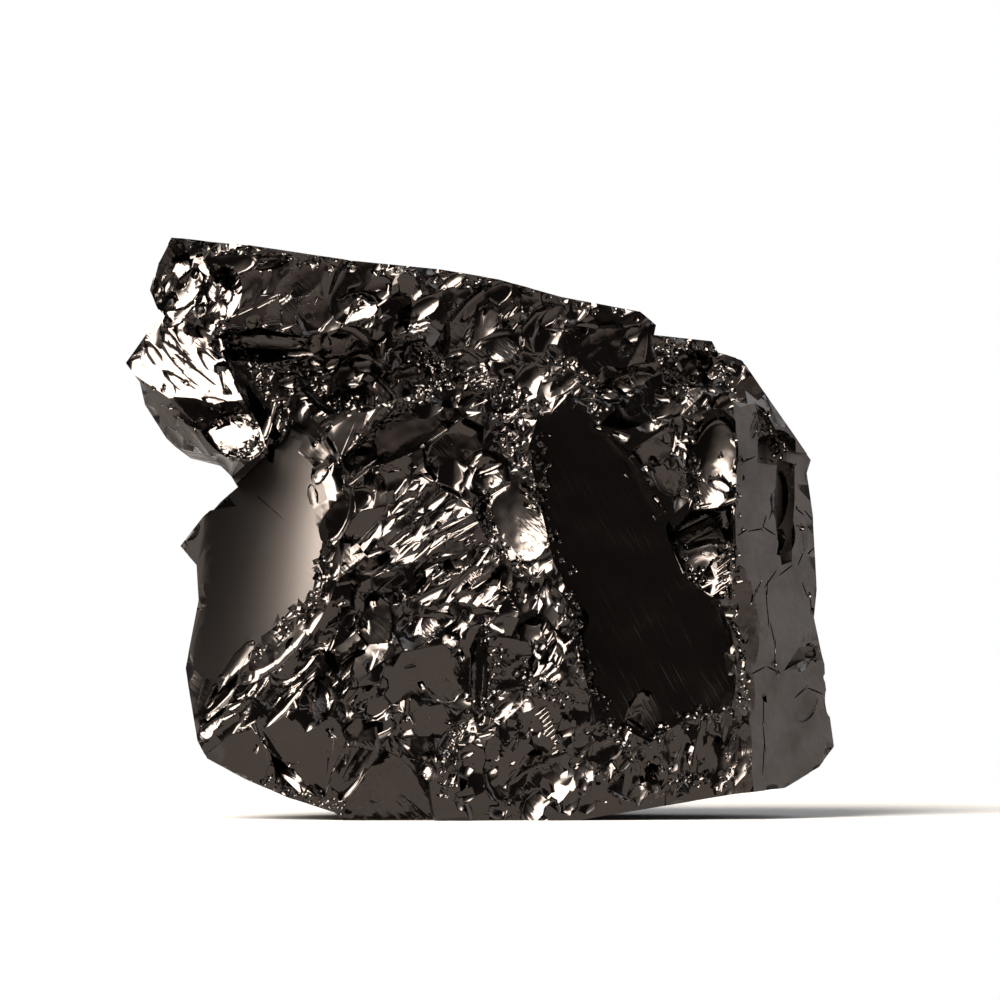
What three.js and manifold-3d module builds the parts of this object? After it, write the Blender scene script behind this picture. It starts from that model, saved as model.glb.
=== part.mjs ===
// Noble shungite: one natural lump of glassy black carbon, broken on every side.
// Millimetres, +Z up, front towards -Y, resting on its flat foot at Z 0.
// It is knapped the way it broke: a rough block has its fracture faces struck off, then flakes, then chips.

import * as THREE from "three";
import { mergeVertices } from "three/addons/utils/BufferGeometryUtils.js";
import Module from "manifold-3d";

const wasm = await Module();
wasm.setup();
const { Manifold, Mesh: SolidMesh } = wasm;

// ---------------------------------------------------------------- driving dimensions

// The front face is drawn on a millimetre sheet: [right, down] from the sheet's top left corner.
const SHEET_AXIS = 48.05; // right of the sheet's left edge, the middle of the lump's width
const SHEET_BASE = 81.9; // down from the sheet's top edge, the surface that the lump rests on

const BLOCK_FRONT = -22; // the rough block before its front is struck
const BLOCK_BACK = 20; // its flat back
const RIM_DEPTH = -7.5; // the edge that the outline follows, along the top, the left and the foot
const RIM_SLANT = 0.42; // how fast that edge runs back on the right flank
const RIM_TURN = 58; // right on the sheet, where it starts to

// The block narrows behind its edge: [depth, share of the outline's size left].
const WAIST = [
  [5, 0.97],
  [13, 0.87],
  [BLOCK_BACK, 0.64],
];
const WAIST_CENTRE = [47, 82];

// The shapes that are struck off.
const FAR = 100; // where a line of sight towards the stone starts, well outside it
const SLAB = 160; // the side of a block that takes off all beyond a plane
const FACE_OVERLAP = 0.6; // how far neighbouring faces' cuts reach into each other, so that no blade is left
const FACE_FLARE = 1.03; // how much wider a face's cut is at the front of the block
const FLAKE_COVER = 1.5; // how far a flake's cut starts in front of the stone
const FLAKE_FLARE = 1.14; // and how much wider it is there
const BOWL_COVER = 1.5; // how far a bowl goes on opening above the stone, before its walls run straight
const BOWL_HEIGHT = 30; // where those walls end
const BOWL_RINGS = 3;
const BOWL_SIDES = 12;
const CHIP_WIDTH = 0.6; // of a chip's length
const CHIP_DEPTH = 0.26; // half its thickness, of its length
const CHIP_BITE = 0.62; // how much of that half goes into the stone
const CHIP_TILT = 0.75; // how far a chip may lean off the surface it is struck from
const CHIP_BLUNT = 0.75; // the share of chips with eight facets, the rest have twenty
const FOOT_CLEAR = 3; // chips stay this far above the resting surface

// The outline of the lump seen from the front, clockwise from its top left corner.
const OUTLINE = [
  [17.2, 23.8], [25, 24.6], [35, 26.1], [44, 27], [50, 28], [56, 29.7], [64, 31.2], [65.6, 32.5],
  [65.4, 33.5], [71.2, 34.1], [71.8, 35.2], [74.2, 35.9], [77, 40], [81.2, 46], [80.8, 47.3],
  [81.4, 51.5], [81.8, 59], [81.5, 61.8], [82.3, 65.5], [83.0, 68], [83.55, 74.8], [82, 76.8],
  [78.5, 78.8], [73.5, 79.3], [65, 80.7], [60, 81.5], [55, 82.4], [35, 82.4], [33.5, 81.1], [29, 79.7],
  [24.5, 77.8], [20.8, 75.8], [19.8, 74], [18.6, 66.8], [19.9, 60], [19.7, 56.5], [18.05, 54.6],
  [20.4, 51.6], [23.8, 48.7], [22.8, 47], [21, 45.5], [18.1, 44.9], [16.6, 43.8], [14.5, 40.5],
  [14, 38.2], [12.6, 36.3], [14.8, 33.2], [16, 31.4], [15, 29], [15.8, 26.2],
];

// ---------------------------------------------------------------- fracture faces

// A face is a plane: turn tips its normal to the right and lean tips it up, in degrees from straight forward,
// and depth is its Y at the point `at` of the sheet.

// The front is first cut back to a few wide slabs.
const FRONT_SLABS = [
  { at: [50, 75], depth: -18, turn: 0, lean: 6 },
  { at: [44, 55], depth: -16.8, turn: -11, lean: 0 },
  { at: [56, 55], depth: -16, turn: 9, lean: 2 },
  { at: [73.5, 60], depth: -13.4, turn: 44, lean: 2 },
];
const SHEET_ALL = [[0, 10], [96, 10], [96, 92], [0, 92]];

// It is then struck face by face, each plane inside its own outline.
const FRONT_FACES = [
  {
    name: "top_band_left", at: [30, 29], depth: -12, turn: -5, lean: -8,
    outline: [[12, 21], [37, 21], [37.2, 28], [34.8, 33], [31, 34.6], [23, 35.6], [20, 33.4], [13, 31.6]],
  },
  {
    name: "top_band_right", at: [45, 30], depth: -12, turn: 6, lean: -3,
    outline: [[36.4, 21], [68, 27], [67.4, 33.4], [60, 33.7], [54.4, 32.6], [50, 34.2], [45, 36],
      [40, 36], [34.4, 33.4]],
  },
  {
    name: "left_block", at: [20, 40], depth: -11.8, turn: -15, lean: 15,
    outline: [[10, 31], [16.6, 31.4], [22.5, 34.6], [25, 39], [27.4, 42.6], [28.4, 44], [26.2, 46.6],
      [24, 49.4], [19, 47], [14, 46], [9, 38]],
  },
  {
    name: "left_block_underside", at: [19.5, 41.5], depth: -12.1, turn: -45, lean: -30,
    outline: [[10, 35.4], [14.2, 37.2], [17, 39], [19, 41], [20.5, 43.2], [21.5, 44.5], [24, 46.2],
      [26.2, 46.3], [26.8, 46.2], [24, 50], [20, 50.6], [15, 48], [9, 42]],
  },
  {
    name: "smooth_face_left", at: [25.5, 57], depth: -10.6, turn: -8, lean: 3,
    outline: [[16, 54.4], [23.6, 48.2], [26.6, 45.8], [28.4, 43.8], [29.9, 44.8], [31.4, 50], [31.8, 53],
      [30.8, 55.2], [31.9, 57.6], [31.2, 59.4], [28.6, 61.8], [26, 64.6], [23.6, 67.6], [20.6, 73.6],
      [17, 74]],
  },
  {
    name: "hollow_under_band", at: [34, 38], depth: -8.2, turn: 0, lean: 4,
    outline: [[22.8, 35.4], [31, 34.4], [35, 33.2], [42, 34.4], [44.4, 37], [42, 38.6], [38, 39.8],
      [31.4, 41.2], [29.6, 42.6], [28.6, 44.2], [26.8, 42.8], [24.6, 39]],
  },
  {
    name: "upper_middle", at: [48, 36], depth: -10.2, turn: 2, lean: 4,
    outline: [[40, 35.6], [45, 35.6], [50, 34], [54.6, 32.6], [57, 35.6], [60, 38], [60, 41.6],
      [54.5, 41.5], [50, 41], [46, 40], [43, 39.6], [41.6, 37.4]],
  },
  {
    name: "middle", at: [44, 56], depth: -15.2, turn: -4, lean: 7,
    outline: [[27.8, 43.6], [31, 41], [38, 39.4], [43, 39.2], [50, 40.6], [54.7, 41.3], [53.6, 45],
      [54.6, 50], [56.4, 56], [58.3, 62], [59.6, 68], [60.2, 71], [56, 75.4], [50, 77], [44, 78],
      [38, 76], [30, 72], [24, 72], [20.4, 73.2], [23.6, 67.4], [28.4, 61.8], [31.2, 59], [31.2, 53]],
  },
  {
    name: "dark_face", at: [64, 60], depth: -9.6, turn: 8, lean: 1,
    outline: [[54.5, 41.5], [57.5, 41], [60.2, 44], [63.4, 47.4], [65.4, 50.6], [67.4, 54.6], [69, 57.6],
      [71.4, 60.4], [72.4, 63], [73, 66], [72.8, 69], [72, 70.5], [69, 70.8], [67, 72], [65, 73.5],
      [62, 71.8], [59.5, 69], [58.2, 64], [57.8, 60], [56, 56], [54.5, 50], [53.5, 45]],
  },
  {
    name: "under_ledge", at: [60, 35.4], depth: -8.8, turn: 3, lean: 2,
    outline: [[54.4, 32.5], [60, 33.5], [65, 33.3], [66, 32], [74, 32], [74.9, 37.6], [72.4, 40.4],
      [66, 39.4], [61, 39.8], [58.4, 37.6], [56.6, 35.6]],
  },
  {
    name: "right_shells", at: [69, 50], depth: -12.2, turn: 3, lean: 2,
    outline: [[57.4, 41], [59, 39.6], [66, 38.8], [72, 39.6], [74.6, 40], [74.6, 42], [74.2, 46],
      [73.8, 55], [73.4, 60], [74.6, 63], [75.1, 67.5], [73.4, 77], [72.6, 77], [72.2, 70.6], [72.8, 66],
      [71, 60.6], [69, 57.8], [65.2, 50.4], [63.2, 47.2], [60, 43.8]],
  },
  {
    name: "right_flank", at: [73.5, 60], depth: -12.4, turn: 47, lean: 2,
    outline: [[73.2, 39.4], [74, 42], [73.8, 46], [73.8, 52], [73.1, 55], [73, 60], [74.2, 62.5],
      [74.6, 64.5], [74.9, 67.5], [74.2, 70], [73.8, 73], [73.2, 77], [72.4, 80.5], [76, 83], [88, 83],
      [90, 60], [86, 47], [81.6, 46.1], [79.4, 45.8], [77.2, 43.6], [76, 41.3]],
  },
  {
    name: "right_shoulder", at: [76, 40], depth: -8.6, turn: 42, lean: 26,
    outline: [[73.5, 33], [80, 33], [88, 46.4], [81.4, 46.1], [79.4, 45.8], [77.2, 43.6], [76, 41.3],
      [74.4, 40.4], [73.4, 39.6], [73.8, 38]],
  },
  {
    name: "foot_right", at: [65, 75], depth: -13.6, turn: 7, lean: -7,
    outline: [[58, 70.6], [60, 69.4], [62, 71.6], [65, 73.4], [67, 71.8], [69, 70.6], [72.2, 70.4],
      [74, 73], [73.6, 79], [73, 82], [56, 84], [50, 84], [52, 75]],
  },
  {
    name: "foot_left", at: [31, 75], depth: -14, turn: -12, lean: -12,
    outline: [[18, 72.6], [24, 71.4], [26, 70.6], [30, 70.4], [34, 71.4], [38, 74.6], [42, 76.4],
      [47, 77], [52, 75.4], [58, 74], [56, 84], [30, 84], [16, 78]],
  },
  {
    name: "foot_bevel", at: [50, 80.2], depth: -17, turn: -2, lean: -50,
    outline: [[33, 81.2], [36, 80.6], [50, 80.1], [62, 79.4], [69, 79], [76, 77.8], [78, 84], [50, 86],
      [30, 85]],
  },
];

// Flakes struck off the front faces. sink is the least depth of a flake's plane under the face around its
// outline, bow how far the flake's middle is hollowed below that plane.
const FRONT_FLAKES = [
  { name: "band_flake", turn: -5, lean: -12, sink: 0.25, bow: 0.25,
    outline: [[30.2, 27.2], [33, 26.6], [35.6, 27.4], [36.2, 29], [35.2, 30.6], [33.4, 31.4], [32, 33.2],
      [31, 33.4], [29.9, 32], [29.6, 29.6]] },
  { name: "band_steps", turn: -12, lean: -6, sink: 0.2, bow: 0,
    outline: [[24, 26.6], [29, 26.2], [29.6, 29.8], [29.6, 32.4], [26, 32.9], [22.8, 32.2], [23.6, 29.6]] },
  { name: "band_lip", turn: -6, lean: -36, sink: 0.1, bow: 0,
    outline: [[22.4, 33.5], [26, 32.9], [30.8, 33.9], [30.8, 35.6], [27, 36.2], [23.2, 36]] },
  { name: "corner_chip", turn: -20, lean: 18, sink: 0.3, bow: 0.3,
    outline: [[16.5, 30], [17.2, 27], [18.8, 26.2], [20.3, 27.2], [20.8, 29], [20, 31.2], [18, 30.6]] },
  { name: "corner_chip_lower", turn: -16, lean: 22, sink: 0.3, bow: 0,
    outline: [[20.7, 29.8], [22.2, 29], [23.4, 30.2], [22.6, 31.6], [20.8, 31.9]] },
  { name: "block_groove", turn: 12, lean: 0, sink: 0.4, bow: 0,
    outline: [[17.4, 39.7], [19.6, 39.9], [22.6, 40.9], [21.2, 42.2], [20.4, 43.2], [18.8, 41.4]] },
  { name: "block_oval", turn: -18, lean: 20, sink: 0.5, bow: 0.4,
    outline: [[21, 43.2], [22, 41.9], [24, 41.6], [25.5, 42.6], [26, 44], [25, 45.3], [23.2, 45.3],
      [21.7, 44.5]] },
  { name: "block_edge", turn: 30, lean: 8, sink: 0.3, bow: 0,
    outline: [[22.6, 36.4], [24.6, 37.6], [26.8, 41.6], [28.2, 43.6], [27, 45.4], [26, 42.6],
      [24.4, 39.4]] },
  { name: "slanting_slab", turn: 9, lean: -7, sink: 0.7, bow: 0,
    outline: [[34.6, 45.6], [37.2, 43.2], [39.2, 41.2], [43, 40], [45.6, 40.2], [46.2, 41.7], [44, 43.5],
      [42, 44.8], [38.5, 46.3], [35.2, 47]] },
  { name: "slab_shadow", turn: 4, lean: 2, sink: 2.1, bow: 0.3,
    outline: [[42.4, 45], [46.3, 41.9], [48.2, 42.9], [48.1, 45.5], [46.4, 47.2], [46, 49.6], [44, 48.6],
      [42.6, 46.8]] },
  { name: "ring_pit", turn: 4, lean: -4, sink: 1.2, bow: 0.5,
    outline: [[46.6, 46.6], [47.6, 45.6], [49.2, 45.4], [50.6, 46.4], [50.9, 47.8], [49.6, 49.2],
      [47.8, 49.5], [46.6, 48.2]] },
  { name: "polished_bowl", turn: -5, lean: 5, sink: 0.9, bow: 0.9,
    outline: [[46.8, 50], [49.8, 49.4], [51.6, 47.8], [53.4, 49], [54, 51.4], [54.6, 54.4], [53.6, 56],
      [50.8, 55.6], [49.8, 53], [47.6, 51.4]] },
  { name: "long_facet", turn: -6, lean: -11, sink: 0.6, bow: 0,
    outline: [[34, 54.6], [35.2, 52], [38.6, 50.2], [41, 49.4], [40.2, 51], [38, 53.2], [36.4, 55.4],
      [34.4, 56.2]] },
  { name: "arch_floor", turn: -6, lean: -12, sink: 1.5, bow: 0,
    outline: [[38.6, 66.4], [40.2, 65.2], [44.2, 64.4], [46.4, 65.6], [46.6, 68], [45.4, 70], [43, 70.4],
      [41, 69.6], [39.2, 70.4], [38, 69]] },
  { name: "arch_side", turn: 26, lean: 0, sink: 0.8, bow: 0,
    outline: [[46.4, 63.4], [48, 65.4], [48.2, 69.8], [46.4, 71.9], [45, 72.2], [46.4, 69.4], [47, 66.6]] },
  { name: "button", turn: 4, lean: -10, sink: 1.1, bow: 0,
    outline: [[40.9, 71.4], [42.6, 70.2], [44.4, 70.4], [45.2, 72.2], [44.2, 73.6], [42, 73.6]] },
  { name: "pale_facet", turn: -8, lean: -13, sink: 0.9, bow: 0,
    outline: [[50.3, 61.6], [52.6, 61.8], [53.8, 63.6], [52.5, 66.1], [50.8, 66.2]] },
  { name: "shelf_edge", turn: -18, lean: 22, sink: 0.3, bow: 0,
    outline: [[45, 73.8], [50.4, 73.3], [51.3, 74.2], [50.4, 75.4], [46, 75.4]] },
  { name: "shelf_face", turn: -3, lean: -13, sink: 0.5, bow: 0,
    outline: [[45.4, 75.4], [50.8, 75.3], [50.2, 77.2], [46.2, 77.1]] },
  { name: "foot_facet_main", turn: -9, lean: -12, sink: 0.5, bow: 0,
    outline: [[26.1, 73.8], [25.4, 71.2], [29, 70.4], [33.6, 71.4], [34.6, 74], [33.2, 77], [32.5, 79.6],
      [30, 77.6], [27.4, 75.2]] },
  { name: "foot_facet_low", turn: 2, lean: -11, sink: 0.8, bow: 0,
    outline: [[34.2, 81.8], [35, 79], [37.2, 76.5], [38.6, 74.9], [40, 75.8], [42.6, 78], [43.2, 81.8]] },
  { name: "foot_facet_left", turn: -16, lean: -14, sink: 0.4, bow: 0,
    outline: [[20.4, 75.6], [23.2, 73.5], [25.8, 72.7], [26.3, 74.2], [27, 76.2], [26.2, 78.6],
      [22, 77.2]] },
  { name: "foot_splinter", turn: -18, lean: 21, sink: 0.2, bow: 0,
    outline: [[27.3, 75.4], [30.1, 77.5], [31.9, 79.5], [30.3, 79.4], [27.7, 77]] },
  { name: "foot_block", turn: 12, lean: -16, sink: 0.4, bow: 0,
    outline: [[33, 75.2], [35, 74.5], [37.2, 75], [36, 77.6], [34.4, 79.5], [33, 78.4]] },
  { name: "left_ramp", turn: -7, lean: -11, sink: 0.5, bow: 0,
    outline: [[27.4, 65.6], [30.4, 64], [31.4, 66], [30, 69], [27.6, 69.4]] },
  { name: "cupped_shell", turn: 2, lean: 4, sink: 0.5, bow: 1.1,
    outline: [[69.8, 41.8], [72.2, 41.2], [73.4, 42.4], [73.5, 46], [73.4, 49.8], [72.8, 51.4],
      [70.4, 50.4], [69.5, 47]] },
  { name: "rippled_shell", turn: -2, lean: 4, sink: 0.7, bow: 0.8,
    outline: [[67.4, 53.2], [69.2, 51.3], [72.8, 50.8], [73, 54.2], [72, 56], [69.8, 57.6], [68, 55.8]] },
  { name: "rippled_shell_low", turn: -16, lean: 16, sink: 0.3, bow: 0.2,
    outline: [[69.8, 58.2], [71.2, 56], [73, 55.6], [73, 59.8], [71.6, 59.8], [70.4, 59]] },
  { name: "lens_ledge", turn: 0, lean: -10, sink: 0.5, bow: 0,
    outline: [[60.4, 42.4], [62, 40.8], [66, 40], [69.2, 40.4], [69, 41.4], [65.4, 42.1], [62.6, 43]] },
  { name: "warm_facet_a", turn: 4, lean: -10, sink: 0.6, bow: 0,
    outline: [[63, 45], [65.6, 43.8], [67.2, 45], [66, 46.6], [64.4, 46.8]] },
  { name: "warm_facet_b", turn: 8, lean: -12, sink: 0.6, bow: 0,
    outline: [[64.6, 47.2], [66.9, 46.9], [68.2, 47.6], [67.5, 49.8], [66.2, 49.4]] },
  { name: "warm_facet_c", turn: -2, lean: -12, sink: 0.4, bow: 0,
    outline: [[61.6, 37.3], [64.2, 36.4], [66, 36.2], [66, 37.6], [64.4, 38.6], [61.6, 39.2]] },
  { name: "shoulder_facet", turn: 32, lean: 14, sink: 0.2, bow: 0,
    outline: [[72.4, 36.9], [73.7, 36.2], [74.3, 38.4], [74.6, 40.2], [72.8, 39.9], [72.2, 38.4]] },
  { name: "flank_gash", turn: 20, lean: 0, sink: 0.5, bow: 0,
    outline: [[77.8, 46.1], [79.5, 46.5], [79.5, 50], [79.2, 54], [79.2, 56], [78.2, 56.2], [77.8, 53.5],
      [77.5, 51]] },
  { name: "flank_notch", turn: 30, lean: -6, sink: 0.5, bow: 0,
    outline: [[80, 64.8], [84, 64.4], [84, 66], [80.4, 66.1], [78.6, 67]] },
];

// Fields of chips on the front: how many, how long, which way their long side points in degrees up from the
// right, and how far each may swing from it.
const CHIP_SEED = 7;
const CHIP_SHORTNESS = 1.5; // above 1, more chips are short than long
const CHIP_FORWARD = 0.5; // how far a chip's blow turns from the surface's normal towards straight forward
const CHIP_FIELDS = [
  { name: "band_left", count: 5, length: [3.5, 6], along: 60, swing: 40,
    outline: [[18, 26.5], [24, 26.5], [29, 27.4], [28.6, 32], [22, 32.6], [18.4, 30]] },
  { name: "band_right", count: 13, length: [4.5, 9.5], along: 62, swing: 35,
    outline: [[36, 28.4], [50, 30], [63, 32], [62, 33], [56, 32.4], [50, 33.4], [44, 35.4], [37, 33]] },
  { name: "under_band", count: 16, length: [4.5, 9.5], along: 20, swing: 60,
    outline: [[30, 36], [42, 35], [52, 34], [58, 38], [58, 41], [46, 40], [38, 40], [31, 40.6]] },
  { name: "middle_left", count: 13, length: [5.5, 10], along: 45, swing: 30,
    outline: [[31, 44], [35, 41], [39, 48], [36, 58], [33.4, 60], [33, 52]] },
  { name: "middle_feathers", count: 16, length: [7, 12], along: 42, swing: 18,
    outline: [[39, 48], [47, 50], [51, 57], [50, 61], [40, 61], [35, 57]] },
  { name: "middle_low", count: 20, length: [5.5, 11], along: 50, swing: 70,
    outline: [[33, 60], [50, 61], [56, 63], [57, 70], [50, 73], [36, 72], [30, 70]] },
  { name: "middle_right", count: 12, length: [4, 8], along: 75, swing: 40,
    outline: [[50, 42], [52.6, 42], [53.6, 52], [56, 62], [57.6, 68], [55, 67], [52, 57]] },
  { name: "left_slope", count: 12, length: [5.5, 11], along: 46, swing: 15,
    outline: [[32.6, 60.6], [36, 62], [30, 69], [25, 71.4], [23.4, 71], [26.4, 66.6]] },
  { name: "foot_right", count: 15, length: [4.5, 9.5], along: 78, swing: 20,
    outline: [[60, 72.6], [65, 74.8], [70, 72.4], [71.6, 73], [71.6, 77.6], [60, 78.6]] },
  { name: "foot_middle", count: 12, length: [4.5, 9], along: 60, swing: 60,
    outline: [[44, 74], [56, 71], [60, 73], [60, 78.4], [44, 78.4]] },
  { name: "shells_top", count: 11, length: [4, 7.5], along: 20, swing: 60,
    outline: [[57, 38.6], [66, 37.4], [71.4, 37], [71.6, 40], [66, 42.6], [60, 43]] },
  { name: "shells_ridge", count: 8, length: [4, 7], along: 85, swing: 20,
    outline: [[73, 61.4], [73.8, 63], [74.2, 66], [73.4, 72], [73, 72], [73.4, 66]] },
  { name: "shells_inner", count: 6, length: [4, 7], along: 80, swing: 30,
    outline: [[67, 42.6], [69, 42.6], [68.8, 50], [66.8, 50]] },
];

// The sides and the back. around is the bearing of a face's normal from straight back towards the right, up is
// its rise, both in degrees, and away is its distance from the lump's heart.
const HEART = new THREE.Vector3(0, 2, 28);
const BACK_PLANES = [
  { around: 22, up: 10, away: 16.2 },
  { around: -28, up: 6, away: 17.6 },
  { around: 50, up: -6, away: 30.6 },
  { around: -62, up: -4, away: 27 },
  { around: 8, up: 52, away: 19 },
  { around: 52, up: 38, away: 27 },
  { around: -48, up: 20, away: 26.6 },
  { around: 14, up: -34, away: 23.5 },
  { around: -42, up: -28, away: 24 },
];
const BACK_SCARS = [
  { around: 10, up: 8, radius: 13, hollow: 2.2 },
  { around: -38, up: 14, radius: 13, hollow: 2.2 },
  { around: 44, up: 16, radius: 12, hollow: 1.8 },
  { around: -16, up: -24, radius: 12, hollow: 2 },
  { around: 38, up: -20, radius: 12, hollow: 1.8 },
  { around: -76, up: -26, radius: 12, hollow: 1.8 },
  { around: -68, up: 26, radius: 10, hollow: 1.3 },
  { around: -4, up: 46, radius: 12, hollow: 2 },
  { around: 82, up: -16, radius: 11, hollow: 1.4 },
  { around: 66, up: 6, radius: 9, hollow: 1 },
  { around: -20, up: 84, radius: 10, hollow: 1.1 },
  { around: 40, up: 66, radius: 9, hollow: 1.2 },
  { around: -46, up: -40, radius: 10, hollow: 1.4 },
  { around: -84, up: 30, radius: 7.5, hollow: 1 },
  { around: -86, up: -8, radius: 8, hollow: 1.1 },
  { around: -84, up: -34, radius: 7, hollow: 0.9 },
  { around: 84, up: 20, radius: 7.5, hollow: 1 },
  { around: 88, up: -8, radius: 8, hollow: 1 },
  { around: 82, up: -26, radius: 6.5, hollow: 0.8 },
  { around: -90, up: 62, radius: 7.5, hollow: 0.9 },
  { around: 90, up: 58, radius: 7.5, hollow: 0.9 },
];

// Chips over the sides and the back: bearings from the one side to the other, and rises from low to high.
const BACK_CHIPS = { count: 22, length: [5, 11], shortness: 2, around: [-95, 95], up: [-35, 65], seed: 23 };

// ---------------------------------------------------------------- shapes

const STRAIGHT_BACK = new THREE.Vector3(0, 1, 0);
const STRAIGHT_FORWARD = new THREE.Vector3(0, -1, 0);
const STRAIGHT_UP = new THREE.Vector3(0, 0, 1);

/** A point of the front sheet as X and Z of the lump. */
function onSheet([right, down]) {
  return { x: right - SHEET_AXIS, z: SHEET_BASE - down };
}

/** A closed three.js geometry as a solid. */
function solidOf(geometry) {
  const bare = geometry.clone();
  bare.deleteAttribute("normal");
  bare.deleteAttribute("uv");
  const merged = mergeVertices(bare, 1e-5);
  return new Manifold(new SolidMesh({
    numProp: 3,
    vertProperties: Float32Array.from(merged.attributes.position.array),
    triVerts: Uint32Array.from(merged.index.array),
  }));
}

/** A solid as a three.js geometry. */
function geometryOf(solid) {
  const mesh = solid.getMesh();
  const geometry = new THREE.BufferGeometry();
  geometry.setAttribute("position", new THREE.BufferAttribute(mesh.vertProperties, 3));
  geometry.setIndex(new THREE.BufferAttribute(mesh.triVerts, 1));
  return geometry;
}

/** An outline extruded in steps, from the front, each vertex put where place(right, down, step) says. */
function extruded(outline, steps, place) {
  const shape = new THREE.Shape(outline.map(([right, down]) => new THREE.Vector2(right, -down)));
  const geometry = new THREE.ExtrudeGeometry(shape, { depth: steps, steps, bevelEnabled: false });
  const position = geometry.attributes.position;
  for (let i = 0; i < position.count; i += 1) {
    const step = steps - Math.round(position.getZ(i));
    const { x, y, z } = place(position.getX(i), -position.getY(i), step);
    position.setXYZ(i, x, y, z);
  }
  return geometry;
}

/** The plane of a face: its Y at any X and Z. */
function planeDepth({ at, depth, turn, lean }) {
  const { x: middleX, z: middleZ } = onSheet(at);
  const turned = THREE.MathUtils.degToRad(turn);
  const leaned = THREE.MathUtils.degToRad(lean);
  const slopeX = Math.tan(turned);
  const slopeZ = Math.tan(leaned) / Math.cos(turned);
  return (x, z) => depth + slopeX * (x - middleX) + slopeZ * (z - middleZ);
}

/** The outward normal of such a plane. */
function planeNormal({ turn, lean }) {
  const turned = THREE.MathUtils.degToRad(turn);
  const leaned = THREE.MathUtils.degToRad(lean);
  return new THREE.Vector3(
    Math.sin(turned) * Math.cos(leaned),
    -Math.cos(turned) * Math.cos(leaned),
    Math.sin(leaned),
  );
}

/** The middle of an outline's points. */
function middleOf(outline) {
  const [rights, downs] = outline.reduce(([a, b], [right, down]) => [a + right, b + down], [0, 0]);
  return [rights / outline.length, downs / outline.length];
}

/** How far an outline's points lie from its middle, on average. */
function reachOf(outline) {
  const [right, down] = middleOf(outline);
  const reaches = outline.map((corner) => Math.hypot(corner[0] - right, corner[1] - down));
  return reaches.reduce((a, b) => a + b, 0) / outline.length;
}

/** An outline moved outwards by a distance. */
function grown(outline, distance) {
  const points = outline.map(([right, down]) => new THREE.Vector2(right, down));
  const side = Math.sign(THREE.ShapeUtils.area(points));
  return points.map((corner, i) => {
    const before = points.at(i - 1).clone().sub(corner).normalize();
    const after = points[(i + 1) % points.length].clone().sub(corner).normalize();
    const outward = after.sub(before).rotateAround(new THREE.Vector2(), (-side * Math.PI) / 2).normalize();
    return corner.addScaledVector(outward, distance).toArray();
  });
}

/** What is struck off in front of a plane inside an outline, with walls that open by `flare` at `front`. */
function struckPrism(outline, planeAt, front, flare) {
  const middle = onSheet(middleOf(outline));
  return solidOf(extruded(outline, 1, (right, down, step) => {
    const { x, z } = onSheet([right, down]);
    if (step === 1) {
      return { x, y: planeAt(x, z), z };
    }
    return { x: middle.x + (x - middle.x) * flare, y: front, z: middle.z + (z - middle.z) * flare };
  }));
}

// ---------------------------------------------------------------- the rough block

/** The outline drawn out from front to back, narrowing behind its edge. */
function roughBlock() {
  const [centreRight, centreDown] = WAIST_CENTRE;
  return solidOf(extruded(OUTLINE, WAIST.length + 1, (right, down, step) => {
    const { x, z } = onSheet([right, down]);
    if (step === 0) {
      return { x, y: BLOCK_FRONT, z };
    }
    if (step === 1) {
      return { x, y: RIM_DEPTH + RIM_SLANT * Math.max(0, right - RIM_TURN), z };
    }
    const [y, share] = WAIST[step - 2];
    const narrowed = [
      centreRight + (right - centreRight) * share,
      centreDown + (down - centreDown) * share,
    ];
    return { ...onSheet(narrowed), y };
  }));
}

/** A function that finds where a line of sight first meets a solid, with the solid's normal there. */
function proberOf(solid) {
  const target = new THREE.Mesh(geometryOf(solid), new THREE.MeshBasicMaterial());
  const caster = new THREE.Raycaster();
  return (origin, direction) => {
    caster.set(origin, direction);
    const [hit] = caster.intersectObject(target);
    return hit ? { point: hit.point, normal: hit.face.normal.clone() } : null;
  };
}

/** A repeatable source of numbers from 0 to 1: the Park and Miller generator. */
function seeded(seed) {
  const modulus = 2147483647;
  const multiplier = 48271;
  let state = seed * 7919;
  return () => {
    state = (state * multiplier) % modulus;
    return state / modulus;
  };
}

/** Whether a point of the sheet lies inside an outline. */
function isInside([right, down], outline) {
  let inside = false;
  outline.forEach(([endRight, endDown], i) => {
    const [startRight, startDown] = outline[(i + outline.length - 1) % outline.length];
    const crosses = (endDown > down) !== (startDown > down);
    if (crosses && right < endRight + ((startRight - endRight) * (down - endDown)) / (startDown - endDown)) {
      inside = !inside;
    }
  });
  return inside;
}

/** The bowl that a blow takes out at a point: a dome of the given radius and hollow, sunk into the stone. */
function bowl(point, normal, radius, hollow) {
  const ball = (radius * radius + hollow * hollow) / (2 * hollow);
  const reach = Math.acos(Math.max(0, 1 - (hollow + BOWL_COVER) / ball));
  const profile = [];
  for (let ring = 0; ring <= BOWL_RINGS; ring += 1) {
    const angle = (reach * ring) / BOWL_RINGS;
    profile.push(new THREE.Vector2(ball * Math.sin(angle), ball - ball * Math.cos(angle)));
  }
  profile[0].x = 0;
  const brim = profile.at(-1).x;
  profile.push(new THREE.Vector2(brim, BOWL_HEIGHT));
  profile.push(new THREE.Vector2(0, BOWL_HEIGHT));
  const geometry = new THREE.LatheGeometry(profile, BOWL_SIDES);
  const turn = new THREE.Quaternion().setFromUnitVectors(new THREE.Vector3(0, 1, 0), normal);
  const pole = point.clone().addScaledVector(normal, -hollow);
  geometry.applyQuaternion(turn);
  geometry.translate(pole.x, pole.y, pole.z);
  return solidOf(geometry);
}

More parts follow.
